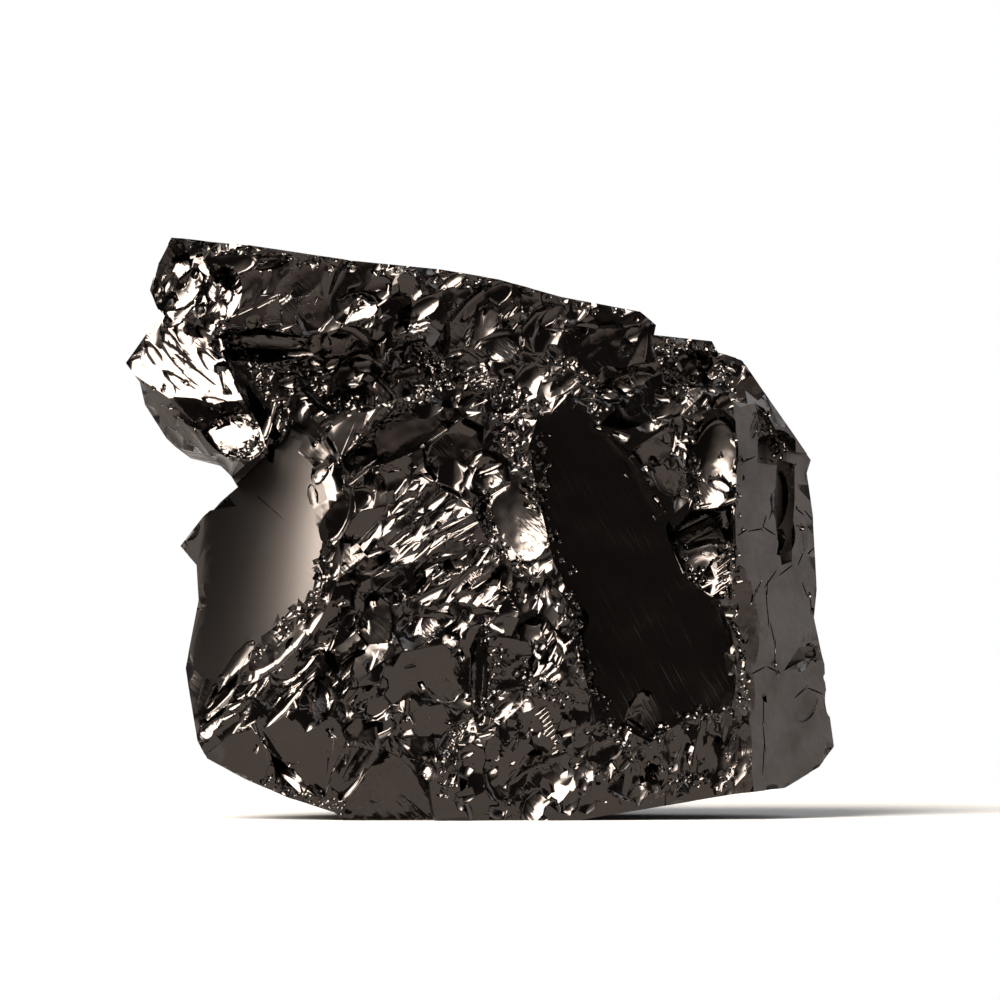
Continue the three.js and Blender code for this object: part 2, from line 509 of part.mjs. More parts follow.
/** A chip: a long shallow splinter, turned by `roll` in the surface and by `spin` about itself. */
function chip(point, normal, length, roll, spin) {
  const geometry = spin < CHIP_BLUNT ? new THREE.OctahedronGeometry(1) : new THREE.IcosahedronGeometry(1);
  geometry.rotateZ(spin * Math.PI);
  geometry.scale(length / 2, length * CHIP_WIDTH / 2, length * CHIP_DEPTH);
  geometry.rotateZ(roll);
  const turn = new THREE.Quaternion().setFromUnitVectors(STRAIGHT_UP, normal);
  const centre = point.clone().addScaledVector(normal, length * CHIP_DEPTH * (1 - CHIP_BITE));
  geometry.applyQuaternion(turn);
  geometry.translate(centre.x, centre.y, centre.z);
  return solidOf(geometry);
}

// ---------------------------------------------------------------- striking the block

/** The big faces of the front. */
function strikeFaces(block) {
  const front = BLOCK_FRONT - 1;
  const slabs = FRONT_SLABS.map((slab) => struckPrism(SHEET_ALL, planeDepth(slab), front, 1));
  const faces = FRONT_FACES.map((face) => {
    const outline = grown(face.outline, FACE_OVERLAP);
    return struckPrism(outline, planeDepth(face), front, FACE_FLARE);
  });
  return Manifold.difference([block, ...slabs, ...faces]);
}

/** The direction of a bearing and a rise, from the lump's heart. */
function bearing({ around, up }) {
  const turned = THREE.MathUtils.degToRad(around);
  const raised = THREE.MathUtils.degToRad(up);
  return new THREE.Vector3(
    Math.sin(turned) * Math.cos(raised),
    Math.cos(turned) * Math.cos(raised),
    Math.sin(raised),
  );
}

/** The big faces of the sides and the back, each with what lay outside its plane struck away. */
function strikeBack(block) {
  const slabs = BACK_PLANES.map((plane) => {
    const normal = bearing(plane);
    const slab = new THREE.BoxGeometry(SLAB, SLAB, SLAB);
    slab.translate(0, 0, SLAB / 2 + plane.away);
    slab.applyQuaternion(new THREE.Quaternion().setFromUnitVectors(STRAIGHT_UP, normal));
    slab.translate(HEART.x, HEART.y, HEART.z);
    return solidOf(slab);
  });
  const faced = Manifold.difference([block, ...slabs]);
  const probe = proberOf(faced);
  const scars = [];
  for (const scar of BACK_SCARS) {
    const outward = bearing(scar);
    const hit = probe(HEART.clone().addScaledVector(outward, FAR), outward.clone().negate());
    const normal = hit.normal.clone().add(outward).normalize();
    scars.push(bowl(hit.point, normal, scar.radius, scar.hollow));
  }
  return Manifold.difference([faced, ...scars]);
}

/** The piece that leaves a flake's facet: a plane at the flake's tilt, sunk under the faces around it. */
function flakePiece(flake, probe) {
  const middle = middleOf(flake.outline);
  const level = planeDepth({ at: middle, depth: 0, turn: flake.turn, lean: flake.lean });
  const stone = [...flake.outline, middle]
    .map(([right, down]) => onSheet([right, down]))
    .map(({ x, z }) => probe(new THREE.Vector3(x, -FAR, z), STRAIGHT_BACK))
    .filter((hit) => hit !== null)
    .map(({ point }) => point);
  const sunk = Math.max(...stone.map(({ x, y, z }) => y - level(x, z))) + flake.sink;
  const front = Math.min(...stone.map(({ y }) => y)) - FLAKE_COVER;
  const floor = (x, z) => level(x, z) + sunk + flake.bow;
  const prism = struckPrism(flake.outline, floor, front, FLAKE_FLARE);
  if (flake.bow === 0) {
    return prism;
  }
  const { x, z } = onSheet(middle);
  const centre = new THREE.Vector3(x, level(x, z) + sunk, z);
  return prism.intersect(bowl(centre, planeNormal(flake), reachOf(flake.outline), flake.bow));
}

/** The flakes of the front. */
function strikeFlakes(block) {
  const probe = proberOf(block);
  return Manifold.difference([block, ...FRONT_FLAKES.map((flake) => flakePiece(flake, probe))]);
}

/** The fields of chips on the front, kept off the flakes. */
function strikeChips(block) {
  const probe = proberOf(block);
  const random = seeded(CHIP_SEED);
  const chips = [];
  for (const field of CHIP_FIELDS) {
    const rights = field.outline.map(([right]) => right);
    const downs = field.outline.map(([, down]) => down);
    let left = field.count;
    while (left > 0) {
      const right = THREE.MathUtils.lerp(Math.min(...rights), Math.max(...rights), random());
      const down = THREE.MathUtils.lerp(Math.min(...downs), Math.max(...downs), random());
      if (!isInside([right, down], field.outline)) {
        continue;
      }
      left -= 1;
      const length = THREE.MathUtils.lerp(...field.length, random() ** CHIP_SHORTNESS);
      const roll = THREE.MathUtils.degToRad(field.along + (random() * 2 - 1) * field.swing);
      const tilt = new THREE.Vector3(random() - 0.5, 0, random() - 0.5).multiplyScalar(CHIP_TILT);
      const spin = random();
      const { x, z } = onSheet([right, down]);
      const hit = probe(new THREE.Vector3(x, -FAR, z), STRAIGHT_BACK);
      if (hit && !FRONT_FLAKES.some(({ outline }) => isInside([right, down], outline))) {
        const normal = hit.normal.lerp(STRAIGHT_FORWARD, CHIP_FORWARD).add(tilt).normalize();
        chips.push(chip(hit.point, normal, length, roll, spin));
      }
    }
  }
  return Manifold.difference([block, ...chips]);
}

/** Chips scattered over the sides and the back. */
function strikeBackChips(block) {
  const probe = proberOf(block);
  const random = seeded(BACK_CHIPS.seed);
  const chips = [];
  for (let i = 0; i < BACK_CHIPS.count; i += 1) {
    const around = THREE.MathUtils.lerp(...BACK_CHIPS.around, random());
    const outward = bearing({ around, up: THREE.MathUtils.lerp(...BACK_CHIPS.up, random()) });
    const length = THREE.MathUtils.lerp(...BACK_CHIPS.length, random() ** BACK_CHIPS.shortness);
    const roll = random() * Math.PI;
    const tilt = new THREE.Vector3(random() - 0.5, random() - 0.5, random() - 0.5).multiplyScalar(CHIP_TILT);
    const spin = random();
    const hit = probe(HEART.clone().addScaledVector(outward, FAR), outward.clone().negate());
    if (hit && hit.point.z > FOOT_CLEAR) {
      chips.push(chip(hit.point, hit.normal.add(tilt).normalize(), length, roll, spin));
    }
  }
  return Manifold.difference([block, ...chips]);
}

/** The flat foot: all below the resting surface taken off. */
function flattenFoot(block) {
  const ground = new THREE.BoxGeometry(SLAB, SLAB, SLAB);
  ground.translate(0, 0, -SLAB / 2);
  return block.subtract(solidOf(ground));
}

const whole = [strikeFaces, strikeBack, strikeFlakes, strikeChips, strikeBackChips, flattenFoot]
  .reduce((block, strike) => strike(block), roughBlock());

const geometry = geometryOf(whole);
geometry.computeBoundingBox();
const { min, max } = geometry.boundingBox;
geometry.translate(-(min.x + max.x) / 2, -(min.y + max.y) / 2, -min.z);

const lump = new THREE.Mesh(
  geometry,
  new THREE.MeshStandardMaterial({ color: "#0b0a0a", roughness: 0.1, metalness: 0 }),
);
lump.name = "shungite";

const group = new THREE.Group();
group.add(lump);

export default group;
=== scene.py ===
"""A lump of noble shungite on a white table: natural glassy carbon, knapped by nature on every side."""

import math
import random

import bpy
from mathutils import Matrix, Vector
from mathutils.bvhtree import BVHTree


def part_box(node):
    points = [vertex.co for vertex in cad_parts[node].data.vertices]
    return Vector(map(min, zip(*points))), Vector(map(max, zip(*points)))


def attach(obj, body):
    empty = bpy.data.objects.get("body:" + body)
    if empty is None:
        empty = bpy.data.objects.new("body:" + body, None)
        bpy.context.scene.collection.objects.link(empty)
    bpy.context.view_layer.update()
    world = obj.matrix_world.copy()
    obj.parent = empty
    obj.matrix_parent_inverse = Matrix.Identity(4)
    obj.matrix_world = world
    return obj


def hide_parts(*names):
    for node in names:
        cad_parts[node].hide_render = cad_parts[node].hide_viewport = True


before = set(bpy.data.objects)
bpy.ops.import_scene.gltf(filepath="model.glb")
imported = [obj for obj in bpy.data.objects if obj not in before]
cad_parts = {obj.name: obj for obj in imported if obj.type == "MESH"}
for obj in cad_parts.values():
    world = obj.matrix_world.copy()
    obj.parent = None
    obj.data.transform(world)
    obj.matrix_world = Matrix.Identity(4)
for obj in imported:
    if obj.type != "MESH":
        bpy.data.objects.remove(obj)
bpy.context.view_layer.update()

MM = 0.001

# ---------------------------------------------------------------- the drawing of the front

# Places on the front are [right, down] in millimetres, on a sheet laid over the stone.
STONE_LOW, STONE_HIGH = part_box("shungite")
SHEET_LEFT = 12.6  # where the stone's leftmost point lies on the sheet
SHEET_TOP = 23.8  # and its highest
SHEET_MIDDLE = (50, 50)


def on_sheet(right, down, y=0.0):
    """A place on the sheet, in the stone's frame."""
    x = STONE_LOW.x + (right - SHEET_LEFT) * MM
    z = STONE_HIGH.z - (down - SHEET_TOP) * MM
    return Vector((x, y, z))


def is_inside(place, outline):
    """Whether a place on the sheet lies inside an outline."""
    right, down = place
    inside = False
    for i, (end_right, end_down) in enumerate(outline):
        start_right, start_down = outline[i - 1]
        if (end_down > down) != (start_down > down):
            share = (down - end_down) / (start_down - end_down)
            if right < end_right + share * (start_right - end_right):
                inside = not inside
    return inside


# ---------------------------------------------------------------- smooth faces

# Faces that came off whole, in one blow. Chips keep off them.
SMOOTH_FACES = {
    "satin_facet": [(18, 54.5), (23.8, 48.8), (27, 45.8), (28.4, 44.4), (29.6, 45.4), (31.2, 50),
        (31.6, 53), (30.6, 55.2), (31.6, 57.6), (28.4, 61.4), (25.5, 64.4), (22.4, 67), (19.5, 67),
        (19.8, 60)],
    "dark_face": [(54.6, 41.8), (57.5, 41.2), (60.2, 44.4), (63.2, 47.8), (65.4, 51), (67.2, 54.6),
        (68.8, 57.8), (71, 60.6), (72, 63), (72.6, 66), (72.4, 69), (69, 70.2), (66.6, 71.6), (65, 73),
        (62.2, 71.2), (59.9, 68.8), (58.7, 64), (58.2, 60), (56.4, 56), (55, 50), (54, 45)],
    "flank": [(74, 43), (77, 44.4), (79.4, 46.4), (81, 47), (81.6, 51.5), (82, 59), (81.7, 62), (83, 68),
        (83.8, 75), (82, 76.8), (78.5, 78.8), (74.4, 79), (74.6, 70), (75, 66), (73.8, 60), (74, 50)],
    "shoulder": [(73.6, 36.4), (74.4, 36.2), (77, 40), (80.6, 45.6), (79, 45.2), (77, 43), (75.4, 41),
        (74, 39)],
    "band_facet": [(30.2, 27.6), (33, 27), (35.4, 27.8), (36, 29), (35, 30.6), (33.2, 31.4), (32, 33),
        (31, 33.2), (30.1, 32), (29.8, 29.6)],
    "slab": [(35.4, 45.8), (37.6, 43.6), (39.6, 41.8), (43, 40.6), (45.4, 40.6), (45.8, 41.6), (43.8, 43.2),
        (41.6, 44.4), (38.4, 46)],
    "slab_shadow": [(42.8, 45), (46.3, 42.4), (47.8, 43.2), (47.8, 45.4), (46.2, 46.8), (45.8, 49),
        (44, 48.2)],
    "polished_bowl": [(48, 50.4), (49.8, 50), (51.6, 48.6), (53.2, 49.4), (53.8, 51.6), (54.3, 54.2),
        (53.4, 55.6), (51, 55.2), (50, 53)],
    "long_facet": [(34.4, 54.8), (35.6, 52.2), (38.6, 50.6), (40.4, 50), (39.6, 51.2), (37.8, 53),
        (36, 55.2)],
    "pale_facet": [(50.6, 62), (52.4, 62.1), (53.4, 63.6), (52.3, 65.8), (51, 65.9)],
    "arch_floor": [(39.2, 66.6), (40.6, 65.6), (44, 64.8), (46, 65.8), (46.2, 68), (45, 69.8), (41, 69.2),
        (39.4, 69.8)],
    "arch_side": [(46.8, 64.6), (47.6, 65.8), (47.8, 69.6), (46.4, 71.2), (45.6, 71.4), (46.8, 69)],
    "button": [(41.2, 71.6), (42.6, 70.6), (44.2, 70.8), (44.8, 72.2), (44, 73.2), (42.2, 73.2)],
    "foot_facet": [(26.4, 73.6), (25.8, 71.6), (29, 70.8), (33.2, 71.8), (34.2, 74), (32.8, 77), (32.2, 79),
        (30, 77.2), (27.6, 75)],
    "foot_facet_left": [(20.8, 75.4), (23.4, 73.8), (25.6, 73), (26.6, 76), (25.8, 77.8), (22.4, 76.8)],
    "foot_facet_low": [(34.8, 81.4), (35.4, 79), (37.4, 77), (38.6, 75.6), (40, 76.4), (42.2, 78.2),
        (42.8, 81.4)],
    "cupped_shell": [(69.2, 42.4), (72.2, 41.4), (73.4, 42.8), (73.5, 49.8), (72.6, 50.8), (70.6, 50.2),
        (69, 47)],
    "rippled_shell": [(66.6, 52.6), (68.4, 51), (73, 50.8), (73.4, 60.4), (71, 59.8), (69.4, 57),
        (68.4, 55.6)],
    "oval": [(20.8, 42.4), (22.4, 41.2), (25, 41.8), (26.4, 43.6), (25.4, 45.2), (22.6, 45)],
    "lens_ledge": [(60.8, 42.2), (62.2, 41), (66, 40.3), (68.9, 40.6), (68.7, 41.3), (65.4, 41.9),
        (62.6, 42.7)],
    "under_ledge": [(55, 33.8), (60, 34), (64.6, 33.9), (65.2, 35.4), (62, 36.6), (59, 37.2), (56.6, 35.6)],
}

# ---------------------------------------------------------------- single scars

# Which way a scar faces, as how far it turns right and how far it leans up, in degrees. A scar shines where
# it faces halfway between the eye and a light.
KEY = (-17, 21)
GLOW = (-11, 13)
TABLE = (-3, -13)
DIM = (2, -5)
DARK = (6, 4)
FLANK = (47, 2)

# Each scar: right, down, length, width, how its long side lies in degrees up from the right, the way it
# faces, and how hollow it is for its width.
SCARS = {
    "corner": [
        (18, 27.2, 3.4, 1.8, 76, KEY, 0.02), (19.4, 30, 3.4, 1.3, 40, KEY, 0.03),
        (20.6, 28.3, 3.8, 1, 88, KEY, 0.06), (17.9, 30.2, 3.2, 1.2, -28, KEY, 0.06),
        (20, 31.2, 1.8, 1.3, 60, KEY, 0.05), (22.4, 30.2, 3, 1.3, 62, KEY, 0.03),
        (21.1, 32.7, 1.9, 1.3, 70, KEY, 0.06), (22.3, 28.2, 2.2, 0.7, 60, KEY, 0.1),
        (16.3, 26.6, 5.4, 1.4, 68, (-30, -4), 0.04), (18.6, 32.6, 5, 1.4, -22, DARK, 0.05),
        (22.6, 26.4, 6, 2.6, 8, DARK, 0.03),
    ],
    "band_left": [
        (25.2, 29.2, 4.2, 1.5, 66, TABLE, 0.03), (26.6, 28, 3, 1.2, 76, TABLE, 0.05),
        (28.6, 28.6, 3.4, 1.6, 62, TABLE, 0.04), (25.6, 26.4, 5.4, 1.4, 2, DARK, 0.04),
        (30.4, 26.5, 5.6, 1.2, -6, DARK, 0.04), (35.2, 26.9, 2.2, 0.8, -58, KEY, 0.05),
        (23.6, 31.5, 2.6, 0.35, 20, KEY, 0.1), (24.9, 31, 3, 0.3, 22, KEY, 0.1),
        (26.4, 30.5, 3, 0.35, 24, KEY, 0.1), (27, 29.9, 2.4, 0.3, 27, GLOW, 0.1),
        (27.4, 31.3, 4.6, 0.6, 16, DARK, 0.08), (26.2, 32.4, 5.2, 0.5, 6, DARK, 0.1),
        (28.6, 32.8, 2, 0.5, 14, KEY, 0.1), (26.5, 34.3, 7.4, 1.7, -2, TABLE, 0.04),
        (27.8, 34, 3.6, 0.5, 4, DARK, 0.1), (29.7, 35.5, 3.1, 0.9, -4, KEY, 0.06),
        (31.6, 36.5, 1.5, 1, -38, KEY, 0.05), (34.2, 33.5, 3.2, 0.6, -6, KEY, 0.08),
        (35.1, 34.6, 1.6, 0.5, 60, KEY, 0.08), (35.4, 38.4, 2, 1.1, -15, KEY, 0.07),
        (37.4, 38.5, 1.9, 0.45, 78, KEY, 0.07), (31.6, 30.2, 2.4, 0.3, 62, DARK, 0.15),
        (33.4, 32.4, 2.2, 1.2, 70, DARK, 0.05),
    ],
    "band_chip": [
        (37.7, 29, 3, 2.4, 40, DIM, 0.05), (37.6, 27.5, 1.9, 0.4, -48, KEY, 0.1),
        (38.8, 28.9, 1.6, 0.4, 86, KEY, 0.1), (38, 30.4, 2.6, 0.5, 32, KEY, 0.1),
        (37.6, 29.1, 2.4, 0.2, 8, KEY, 0.15),
    ],
    "block": [
        (18.8, 36.8, 7.6, 1.3, -46, KEY, 0.02), (20.4, 38.3, 7.6, 1.3, -42, KEY, 0.02),
        (18.6, 38.8, 5.6, 1.1, -40, KEY, 0.02), (21.4, 36.8, 5, 1.2, -52, KEY, 0.02),
        (23.2, 39, 4.6, 1.3, -62, KEY, 0.02), (21.9, 40.3, 3.4, 0.9, -20, KEY, 0.02),
        (15.7, 35.9, 4.2, 1.2, -55, KEY, 0.05), (17.5, 34.9, 5, 1.3, -56, KEY, 0.05),
        (18.7, 33.6, 3.4, 1.8, -60, KEY, 0.04), (23.4, 43.6, 5, 3.6, -18, KEY, 0.02),
        (18.4, 41.3, 5.2, 2, -24, TABLE, 0.05), (26.8, 42.4, 4, 1, 78, KEY, 0.06),
        (27.7, 42.8, 4.4, 0.8, 80, GLOW, 0.06), (28.5, 41.8, 4, 0.8, 76, DARK, 0.06),
        (25.2, 45.7, 2.8, 0.9, -24, KEY, 0.06),
    ],
    "band_right": [
        (45.4, 28.1, 2.4, 1.5, 30, KEY, 0.06), (44.2, 28.7, 1.3, 0.7, 50, KEY, 0.1),
        (56.9, 30.1, 1.7, 0.9, -10, KEY, 0.05), (56.6, 32, 1.2, 0.6, 50, KEY, 0.1),
        (59.2, 32.8, 1.2, 0.5, -40, KEY, 0.1), (42, 32.5, 2.2, 0.9, 12, KEY, 0.08),
        (38.6, 33.2, 7, 3.2, 62, DARK, 0.03), (44, 31.4, 5.6, 3, 70, DARK, 0.03),
        (49.6, 29.6, 3.6, 1.8, 30, DARK, 0.03), (52.8, 30.6, 5, 1.8, -20, DARK, 0.04),
        (47.2, 33.4, 4.2, 1.6, 66, DARK, 0.04), (45.6, 35.4, 3.6, 1.4, 8, KEY, 0.08),
        (48.4, 38.3, 1.4, 0.8, 10, KEY, 0.08), (50.8, 37.8, 1.5, 1.4, 40, KEY, 0.06),
        (39.2, 34.4, 1.4, 0.7, 40, KEY, 0.1), (46.8, 33.2, 1.6, 0.6, 60, KEY, 0.1),
        (43.2, 37.4, 4.2, 1.6, -30, DARK, 0.05), (53.4, 36.4, 3.4, 1.6, -38, DARK, 0.05),
    ],
    "under_ledge": [
        (57.2, 33.1, 5.4, 0.35, -6, GLOW, 0.1), (63.7, 37.5, 4.2, 2.2, 18, TABLE, 0.03),
        (61.4, 38.1, 1.2, 0.7, 30, KEY, 0.08), (66.4, 38.8, 5.2, 0.4, -6, KEY, 0.1),
        (71.2, 39, 1.2, 0.6, -30, KEY, 0.1), (70.4, 40.2, 1.4, 0.6, 60, KEY, 0.1),
        (67.2, 36.4, 2.2, 1, 80, TABLE, 0.06), (69, 37.4, 2.4, 1.6, 70, DARK, 0.05),
        (72.4, 36.2, 1.4, 0.8, 80, KEY, 0.12), (66, 41.7, 5.6, 0.35, 8, KEY, 0.12),
        (62.4, 43.8, 3.8, 0.9, -28, KEY, 0.07), (60, 42.9, 1.8, 0.5, -25, KEY, 0.1),
        (53, 42, 2.4, 0.9, -18, KEY, 0.07), (50.8, 41.4, 1.2, 0.6, 10, KEY, 0.1),
        (56, 38.4, 4.6, 2, 30, DARK, 0.05),
    ],
    "slabs": [
        (43.9, 43.4, 4.4, 0.3, 34, KEY, 0.12), (38, 42.4, 3.2, 0.3, 50, KEY, 0.12),
        (37.4, 47, 4, 1, 30, DARK, 0.05), (39.6, 47, 5.2, 0.4, 8, GLOW, 0.12),
        (36, 47.6, 3.2, 0.4, 38, GLOW, 0.12), (38.4, 48.6, 4.4, 1.3, 26, DARK, 0.05),
        (42.4, 47.6, 2.6, 0.4, -30, GLOW, 0.12), (42.6, 50.2, 2.4, 1.2, 60, DIM, 0.05),
    ],
    "middle_left": [
        (32.1, 47.4, 2.2, 1.6, 60, KEY, 0.05), (31.4, 49.8, 2.6, 1, -72, KEY, 0.06),
        (33.4, 45, 4.6, 2, 70, DARK, 0.04), (35, 49.4, 3.6, 1.5, 50, DARK, 0.05),
        (31.8, 58.6, 2.2, 0.8, 80, KEY, 0.08), (34.2, 60.2, 1.4, 0.6, 35, KEY, 0.08),
        (32.8, 54.8, 2.8, 1.4, 80, DIM, 0.05), (35.8, 57.4, 4.4, 1.6, 24, DARK, 0.05),
        (36.9, 55.5, 3.4, 0.6, 16, KEY, 0.08), (38.6, 61, 4.2, 2, 60, DARK, 0.04),
        (34.6, 62.6, 4.2, 1.6, 50, DARK, 0.05), (32.2, 64.6, 3.2, 1.4, 50, DARK, 0.05),
        (33.6, 51.4, 5.6, 2.6, 70, (4, -3), 0.02), (32.9, 55.2, 5, 2.2, 96, DARK, 0.03),
        (33.2, 58.4, 4.2, 2, 55, DARK, 0.04), (36.8, 51.8, 7, 2.2, 50, TABLE, 0.02),
    ],
    "feathers": [
        (38.4, 53, 4.2, 1, 50, KEY, 0.06), (39.8, 50.6, 3.4, 0.5, 52, KEY, 0.08),
        (41.8, 53.2, 2.6, 0.9, 62, KEY, 0.07), (43.6, 54.2, 3, 0.8, 40, KEY, 0.07),
        (42.2, 51.2, 2.2, 0.5, 46, GLOW, 0.08), (44.8, 51.6, 3, 0.6, 20, GLOW, 0.08),
        (46.4, 52.6, 3.4, 0.6, 26, DIM, 0.08), (45.6, 56.8, 2.8, 1.7, -35, KEY, 0.05),
        (43, 59.6, 3.8, 1.2, 28, KEY, 0.06), (41.6, 60, 1.2, 1.6, 60, KEY, 0.06),
        (46.6, 59.8, 2.2, 1.6, 20, KEY, 0.05), (49.2, 58.2, 3.2, 1.3, 62, KEY, 0.06),
        (48.2, 55.6, 3, 0.8, 56, GLOW, 0.07), (41.8, 57.3, 4.4, 2.6, -36, DARK, 0.04),
        (38.6, 58, 3.4, 1.6, 12, DARK, 0.05), (44.6, 58, 2.2, 0.4, 24, KEY, 0.1),
        (47.4, 61.6, 4, 1.6, 10, DARK, 0.05),
    ],
    "ring": [
        (48.5, 47.5, 4.2, 4, 30, DARK, 0.1), (46.8, 48, 3.8, 1, 78, KEY, 0.06),
        (47.6, 46, 2, 1, 60, KEY, 0.06), (49, 46.9, 2.4, 0.8, 20, KEY, 0.07),
        (50.6, 46.2, 1.8, 0.4, 60, GLOW, 0.1), (49.6, 49.2, 3, 0.4, 30, GLOW, 0.1),
    ],
    "polished": [
        (52, 59, 4.6, 2.2, -80, DARK, 0.05), (50.6, 57.6, 3.4, 1.2, 84, DARK, 0.06),
        (51.6, 56.6, 1.6, 0.7, 80, KEY, 0.08), (54.6, 59.4, 3.6, 1, -76, GLOW, 0.07),
        (56.6, 63.4, 1.3, 1.2, 40, KEY, 0.07), (55.6, 67.5, 1.9, 0.9, 30, KEY, 0.07),
        (54.8, 64.6, 3.2, 1.4, 80, DARK, 0.05),
    ],
    "arch": [
        (44.9, 63.9, 2.2, 1.5, -38, KEY, 0.05), (46.1, 65.6, 2, 0.8, -66, KEY, 0.07),
        (47.7, 67.6, 8, 1.6, 86, (28, 2), 0.06), (42.3, 68.6, 1.6, 0.6, -60, KEY, 0.08),
        (37.4, 66, 2.6, 0.8, 78, KEY, 0.07), (36.8, 68.6, 2.6, 0.9, 55, KEY, 0.07),
        (38, 70.2, 3.4, 1.8, 50, TABLE, 0.03), (37, 72.6, 5, 2, 12, TABLE, 0.03),
        (43, 62.2, 4.6, 1.8, 10, DARK, 0.05), (36.2, 64.4, 4.4, 1, 46, DARK, 0.06),
        (40.8, 66.6, 3.2, 0.35, 14, DARK, 0.15), (41.4, 71.8, 2.4, 0.3, -60, DARK, 0.15),
    ],
    "left_slope": [
        (23.6, 66.6, 5.6, 1.4, 56, GLOW, 0.06), (21.4, 72.6, 3.6, 1.4, 42, KEY, 0.05),
        (23.6, 70.5, 3.4, 0.6, 24, KEY, 0.07), (24.2, 69.6, 3.2, 0.5, 30, KEY, 0.08),
        (22.8, 71.6, 2.4, 0.5, 20, KEY, 0.08), (23.8, 72.4, 2.6, 1, 10, TABLE, 0.05),
        (29, 66.2, 4.6, 3, 50, TABLE, 0.03), (33.4, 65.6, 8.6, 0.4, 46, KEY, 0.08),
        (32.6, 67.6, 6.4, 0.4, 44, KEY, 0.08), (34.6, 66.8, 4.6, 1.4, 46, DARK, 0.05),
        (31.4, 69.2, 3.6, 1.6, 42, DARK, 0.05), (32.6, 69.9, 1.9, 1.2, -38, KEY, 0.05),
        (29.6, 70.4, 1.4, 0.4, -70, KEY, 0.08), (27, 68.4, 4.6, 1.2, 60, DARK, 0.06),
        (25.4, 68.6, 4.4, 0.5, 52, GLOW, 0.08),
    ],
    "foot_left": [
        (28.6, 76.8, 3.6, 0.9, -42, KEY, 0.05), (35.6, 77, 6, 1.6, 62, DARK, 0.05),
        (34, 76.6, 4.4, 1.2, 72, (16, 0), 0.06), (34.8, 75.6, 2.6, 0.5, 80, DARK, 0.1),
        (25.6, 75, 4.2, 0.5, 60, DARK, 0.1), (33.4, 73.4, 2.8, 0.5, -50, GLOW, 0.1),
        (34.8, 71.2, 1.6, 0.4, -40, KEY, 0.1), (40.6, 74.4, 2.4, 0.8, -40, GLOW, 0.08),
    ],
    "shelf": [
        (48.8, 73.3, 4.4, 0.5, 10, KEY, 0.08), (47.8, 74.3, 3.8, 0.45, -6, KEY, 0.08),
        (49.8, 72.2, 3, 0.4, -38, KEY, 0.1), (46, 75.4, 1.4, 0.7, 50, KEY, 0.08),
        (48.4, 76, 4.6, 1.2, -2, TABLE, 0.04), (51.2, 74.8, 3.4, 0.8, 70, DARK, 0.06),
        (52.6, 70.4, 2, 1.5, -60, KEY, 0.05), (50.4, 70.8, 2.6, 1.4, 50, GLOW, 0.06),
        (51.2, 78, 2.8, 1.3, 64, KEY, 0.06), (55.2, 78.4, 1.4, 0.6, -24, KEY, 0.08),
        (53.6, 77.6, 1.8, 0.8, 84, KEY, 0.08), (47, 79.2, 3, 1.4, 20, DIM, 0.06),
        (59.4, 77, 1.4, 0.7, -10, KEY, 0.08), (61, 77.4, 1.6, 0.3, 84, KEY, 0.1),
        (58.6, 71.4, 3.4, 1.8, -30, DARK, 0.05), (56.6, 76.6, 3.6, 1.6, 84, TABLE, 0.05),
        (45.2, 78, 2.4, 0.8, 70, KEY, 0.08), (54.6, 74.6, 3.4, 1.6, -40, DIM, 0.05),
    ],
    "right_shells": [
        (72, 48.6, 2.6, 1.2, -34, KEY, 0.04), (70.4, 50.6, 3.6, 0.4, 8, KEY, 0.1),
        (64.9, 45.4, 4.2, 2.2, 28, TABLE, 0.03), (66.6, 48, 3.4, 1.8, -64, TABLE, 0.04),
        (67.4, 44, 2.6, 0.5, 84, GLOW, 0.08), (68.4, 45.6, 1.4, 0.7, -70, KEY, 0.08),
        (65.6, 50, 2.6, 0.4, -50, KEY, 0.1), (69.6, 43.4, 2.8, 0.7, 78, DARK, 0.08),
        (62.6, 47.6, 3, 0.25, -42, GLOW, 0.12), (65.4, 51.8, 4, 0.25, -58, GLOW, 0.12),
        (67.8, 56.2, 4.2, 0.25, -66, GLOW, 0.12), (72.9, 61.4, 1.9, 1.1, -14, KEY, 0.06),
        (73.6, 63.4, 2.6, 1.2, -60, DARK, 0.06), (74, 68.6, 1.7, 0.9, 70, KEY, 0.06),
        (74.2, 66.2, 2.4, 0.8, 84, GLOW, 0.07), (73.6, 71.6, 4.2, 1.2, 84, DARK, 0.06),
    ],
    "flank": [
        (75.4, 42.6, 2.4, 1, 60, (47, -6), 0.1), (77.2, 44.6, 1.6, 0.8, -50, (40, 10), 0.1),
        (80.6, 70.6, 3.8, 2.6, 20, (50, -4), 0.03), (77.6, 50, 5.4, 2.2, 84, (43, 4), 0.03),
    ],
    "hairlines": [
        (26.4, 50.2, 6.4, 0.12, -41, (-8, 5), 0.6),
    ],
    "foot_right": [
        (68.4, 75, 6.2, 1, 82, (10, -9), 0.08), (69.8, 74.6, 6, 0.8, 80, (12, -9), 0.08),
        (71, 75, 5.6, 0.9, 84, (-6, -9), 0.08), (66.6, 76, 5, 1, 80, (4, -9), 0.08),
        (64.8, 76, 4.6, 1.1, 76, (-4, -8), 0.07), (62.8, 75.2, 3.8, 1.3, 60, DIM, 0.06),
        (69.6, 78.2, 1, 0.7, 0, KEY, 0.12), (64, 72.9, 3.2, 0.8, -36, DIM, 0.06),
        (69.4, 71.6, 3.6, 1, 20, DIM, 0.06), (60.6, 73.6, 3.6, 1.5, -30, DIM, 0.05),
    ],
}
SCAR_JITTER = 3  # degrees that a single scar may face off its way
SCAR_SINK = 0.3  # of its hollow, that a single scar goes in deeper than a chip
LEAST_DEPTH = 0.02  # of a single scar, in millimetres
WIDE_SCAR = 1.4  # millimetres, above which a scar's bowl is made with more sides
